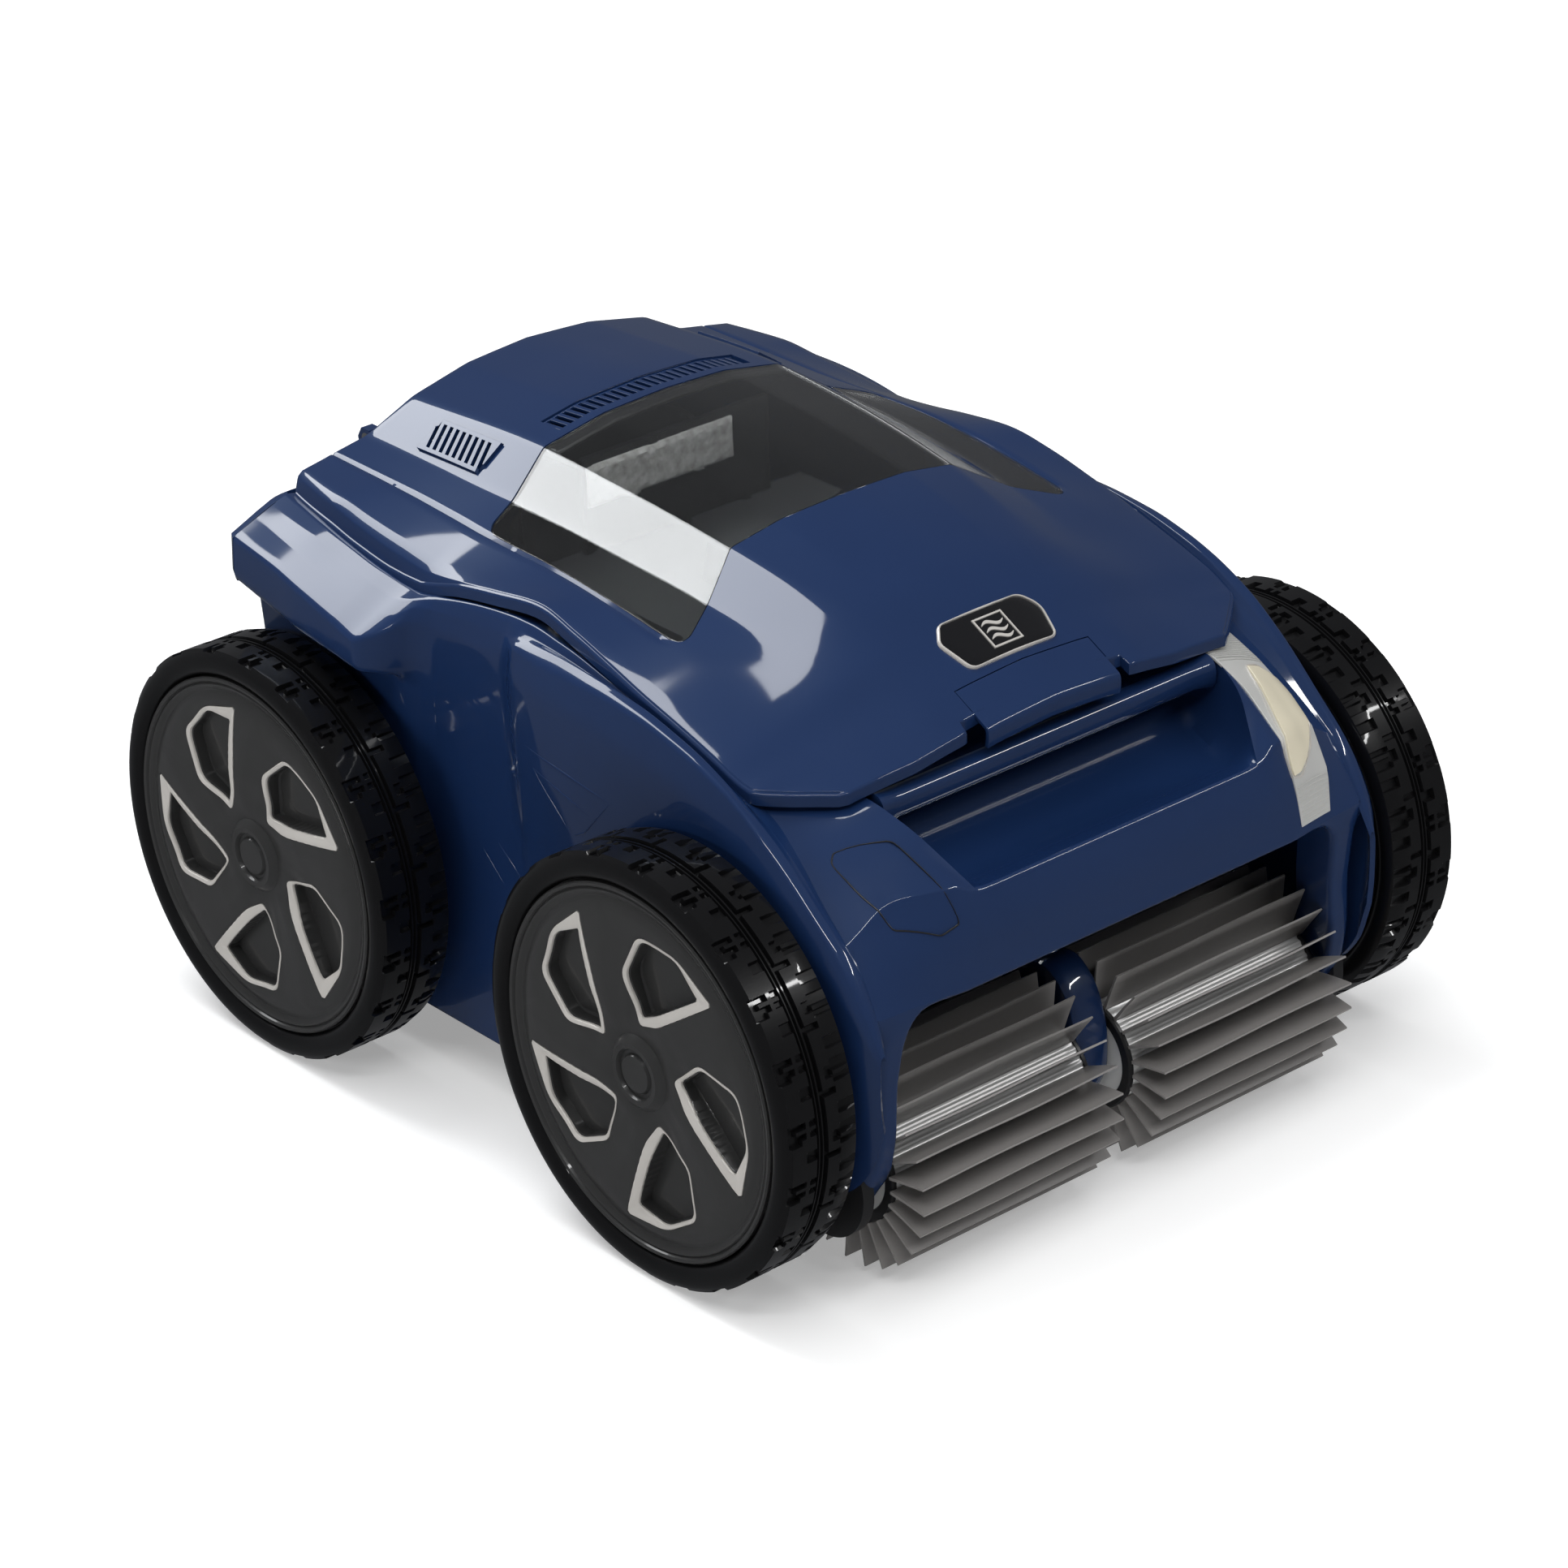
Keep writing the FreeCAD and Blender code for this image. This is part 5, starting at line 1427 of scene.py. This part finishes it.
def make_lamps():
    """A ribbed strip in pale silver, partly a painted reflection of the white backdrop, with a cream lens
    on the right, a body-coloured panel on the left.
    """
    # the pale silver of this strip is partly a painted reflection of the white backdrop; the left lamp
    # stays body navy
    nose_band("right_lamp_band_painted_reflection", 1, LAMP_STRIP, 0.45, "silver_strip", ("right_lamp_strip",))
    nose_band("right_lamp_glass", 1, LAMP_LENS, 1.5, "lens_cream", ("right_lamp_lens",), 16, 9, 2.2)
    nose_groove("right_lamp_frame", 1, LAMP_OUTLINE, 0.7, 1.0, "trim_silver")
    hidden = ("left_lamp_strip", "left_lamp_lens")
    nose_band("left_lamp_panel", -1, LAMP_LENS, -0.6, "navy_shell", hidden)
    nose_groove("left_lamp_groove", -1, PANEL_OUTLINE, 0.4, 0.35, "black_plastic")
    # fine cross ribs of the strip, in the same pale silver, partly a painted reflection of the backdrop
    points, faces = [], []
    table = np.array(LAMP_STRIP, float)
    for t in np.linspace(0.1, 5.75, 58):
        if 2.1 < t < 5.0:
            continue
        low = np.interp(t, table[:, 0], table[:, 1]) + 1
        high = np.interp(t, table[:, 0], table[:, 2]) - 1
        first = len(points)
        for k in range(9):
            x = low + (high - low) * k / 8
            for dt, out in ((-0.014, 0.4), (0, 0.85), (0.014, 0.4)):
                points.append(on_nose(x, t + dt, out))
        faces += quads(9, 3, wrap_columns=True, first=first)
        faces += end_caps(3, len(points), first)
    put("right_lamp_ribs_painted_reflection", points, faces, "silver_strip", "chassis", sharp=60)


# ------------------------------------------------------------ brushes

BRUSH_Y, BRUSH_Z = -197.5, 51
BRUSH_ENDS = (12.5, 133)
BLADES = 24


def on_brush(x, radius, turn, sign):
    """A point at a radius and an angle round a brush's axis."""
    return (sign * x, BRUSH_Y + radius * math.cos(turn), BRUSH_Z + radius * math.sin(turn))


def make_brushes():
    """Thin wavy rubber blades on a finned silver core."""
    for side, sign in (("left", -1), ("right", 1)):
        points, faces = [], []
        lengths = np.linspace(BRUSH_ENDS[0] + 0.3, BRUSH_ENDS[1] - 0.2, 30)
        radii = (26.6, 31, 36, 41, 45, 47.2, 48)
        for blade in range(BLADES):
            base = 2 * math.pi * blade / BLADES + 0.07
            first = len(points)
            for half in (-1, 1):
                for x in lengths:
                    for r in radii:
                        reach = (r - 26) / 22
                        wave = 0.35 * math.sin(x * 0.055 + blade * 1.7) * reach
                        bow = 0.9 * reach * reach
                        flat = 0.75 - 0.3 * reach
                        offset = (bow + wave + half * flat) / r
                        shorten = 0.8 * reach
                        near = lengths[0] + (x - lengths[0]) * (1 - 0.004 * shorten)
                        points.append(on_brush(near, r, base + offset, sign))
            n, m = len(lengths), len(radii)
            faces += quads(n, m, first=first)
            faces += quads(n, m, first=first + n * m)
            for i in range(n - 1):
                for j in (0, m - 1):
                    a = first + i * m + j
                    faces.append((a, a + m, a + m + n * m, a + n * m))
            for j in range(m - 1):
                for i in (0, n - 1):
                    a = first + i * m + j
                    faces.append((a, a + 1, a + 1 + n * m, a + n * m))
        body = side + "_brush"
        blades = (side + "_brush_blades",)
        put(side + "_blades", points, faces, "blade_rubber", body, blades, sharp=30)
        points = []
        ribs = 48
        profile = [(5, 11.8), (24, 11.8), (26.2, 12.2), (26.4, 13.5)]
        profile += [(26.4, x) for x in np.linspace(20, 126, 10)]
        profile += [(26.4, 129.6), (26.2, 130.6), (24, 131), (5, 131), (5, 136)]
        for r, x in profile:
            for k in range(ribs * 4):
                turn = 2 * math.pi * k / (ribs * 4)
                dip = 0.5 if k % 4 in (0, 1) and r > 26.3 else 0
                points.append(on_brush(x, r - dip, turn, sign))
        faces = quads(len(profile), ribs * 4, wrap_columns=True)
        put(side + "_core", points, faces, "core_silver", body, (side + "_brush_core",), sharp=30)
        make_core_ends(side, sign)


# radius and distance out of a core's end flange
FLANGE = (
    (26.9, 0), (26.9, 1.6), (26.2, 2.4), (22, 2.4), (21, 1.4), (9, 1.4), (8, 2.4), (5.4, 2.4),
    (5.4, 0),
)
FLANGE_SIDES = 96


def make_core_ends(side, sign):
    """The black flanges that close both ends of a brush core."""
    for name, lip, outward in (("inner", 13.6, -1), ("outer", 129.2, 1)):
        points = []
        for r, out in FLANGE:
            for k in range(FLANGE_SIDES):
                turn = 2 * math.pi * k / FLANGE_SIDES
                points.append(on_brush(lip + outward * out, r, turn, sign))
        faces = quads(len(FLANGE), FLANGE_SIDES, wrap_rows=True, wrap_columns=True)
        put(f"{side}_flange_{name}", points, faces, "black_plastic", side + "_brush", sharp=30)


# the fin's outline as (y, z), and how far each corner is rounded
STRUT = (
    (-150, 60), (-150, 86), (-178, 101), (-193, 103), (-206, 92), (-214, 70), (-213, 48), (-206, 36),
    (-190, 34), (-178, 45),
)
STRUT_ROUND = (3, 6, 10, 12, 12, 14, 12, 8, 8, 8)


def make_strut():
    """Blue fin between the brushes, rounded on all edges."""
    rim = rounded_loop(STRUT, STRUT_ROUND, 4, 6)
    centre = np.array((-190, 70.0))
    half_levels = ((5, 0), (7.6, 0.4), (9.4, 1.6), (10, 4))
    levels = [(-x, inset) for x, inset in half_levels[::-1]] + list(half_levels)
    points = []
    for x, inset in levels:
        for p in rim:
            q = p + (centre - p) / np.linalg.norm(centre - p) * inset
            points.append((x, q[0], q[1]))
    faces = quads(len(levels), len(rim), wrap_columns=True)
    faces += end_caps(len(rim), len(points))
    put("brush_fin", points, faces, "navy_shell", "chassis", ("brush_strut",))


# ------------------------------------------------------------ rear wall

# z and half width of the rear wall's outline, from its foot up
REAR_OUTLINE = (
    (24.6, 149.4), (30, 149.6), (120, 149.6), (212, 157), (216.5, 169), (222, 170.4), (238.6, 169.6),
    (244.7, 155.6), (248.6, 145.6), (251, 138.5),
)
REAR_FOOT, REAR_TOP = REAR_OUTLINE[0][0], REAR_OUTLINE[-1][0]
REAR_Y, GLAND_Y = 190.4, 187.65
GLAND_Z = 190
LOUVRES = (70, 82, 94, 106, 118)
LOUVRE_HALF = 84
# where the rows stand above the louvres, and the columns as shares of the half width
REAR_TOP_ROWS = (
    212, 214, 215.5, 216.5, 218, 222, 226, 230, 234, 238.6, 240.5, 242.6, 244.7, 246.6, 248, 249, 250,
    250.6,
)
REAR_COLUMNS = (
    0, 0.1, 0.2, 0.3, 0.4, 0.48, 0.53, 0.545, 0.56, 0.575, 0.65, 0.72, 0.78, 0.8, 0.82, 0.84, 0.86, 0.9,
    0.94, 0.965, 0.975, 0.985, 0.993, 1,
)


def rear_depth(x, z, half):
    """How far back the rear wall stands: a raised frame, louvres and a flat round the gland."""
    inset = half - abs(x)
    field = eased((inset - 26) / 5) * eased((z - 46) / 5) * eased((212 - z) / 5)
    y = REAR_Y - 1.5 * field
    for level in LOUVRES:
        if abs(z - level) < 3 and abs(x) < LOUVRE_HALF:
            fade = eased((LOUVRE_HALF - abs(x)) / 4)
            y -= 0.55 * (1 + math.cos(math.pi * (z - level) / 3)) * fade
    away = math.hypot(x, z - GLAND_Z)
    y -= (y - GLAND_Y) * (1 - eased((away - 17) / 4))
    y -= 5.4 * (1 - min(1, inset / 4)) ** 2
    y -= 2.4 * (1 - min(1, (z - REAR_FOOT) / 2.5)) ** 2
    return y - 3 * (1 - min(1, (REAR_TOP - z) / 3)) ** 2


def make_rear():
    """The moulded rear wall over the cowl, closed against both side shells."""
    heights, halves = np.array(REAR_OUTLINE).T
    levels = [REAR_FOOT, 25.2, 26, 27.1, 30, *np.linspace(33, 60, 10), *np.linspace(61, 127, 67)]
    levels += [*np.linspace(130, 210, 41), *REAR_TOP_ROWS, REAR_TOP]
    fine = sorted({*REAR_COLUMNS, *(k * 0.0133 for k in range(1, 14))})
    both = [-t for t in fine[:0:-1]] + fine
    points = []
    for z in levels:
        half = float(np.interp(z, heights, halves))
        for t in both:
            points.append((t * half, rear_depth(t * half, z, half), z))
    piece = put("rear_wall", points, quads(len(levels), len(both)), "navy_shell", "chassis")
    thicken(piece, 1.6)
    round_edges(piece, 0.4, 2, 55)


# ------------------------------------------------------------ making it

bpy.context.scene.view_settings.view_transform = "Standard"
add_camera()
add_studio()
paint_frame()
make_hood()
make_window()
make_vents()
make_wheels()
for side_name, side_sign in (("left", -1), ("right", 1)):
    make_side(side_name, side_sign)
    make_side_marks(side_name, side_sign)
make_nose()
make_handle_bar()
make_badge()
make_latch()
make_lamps()
make_brushes()
make_strut()
make_felt()
make_rear()
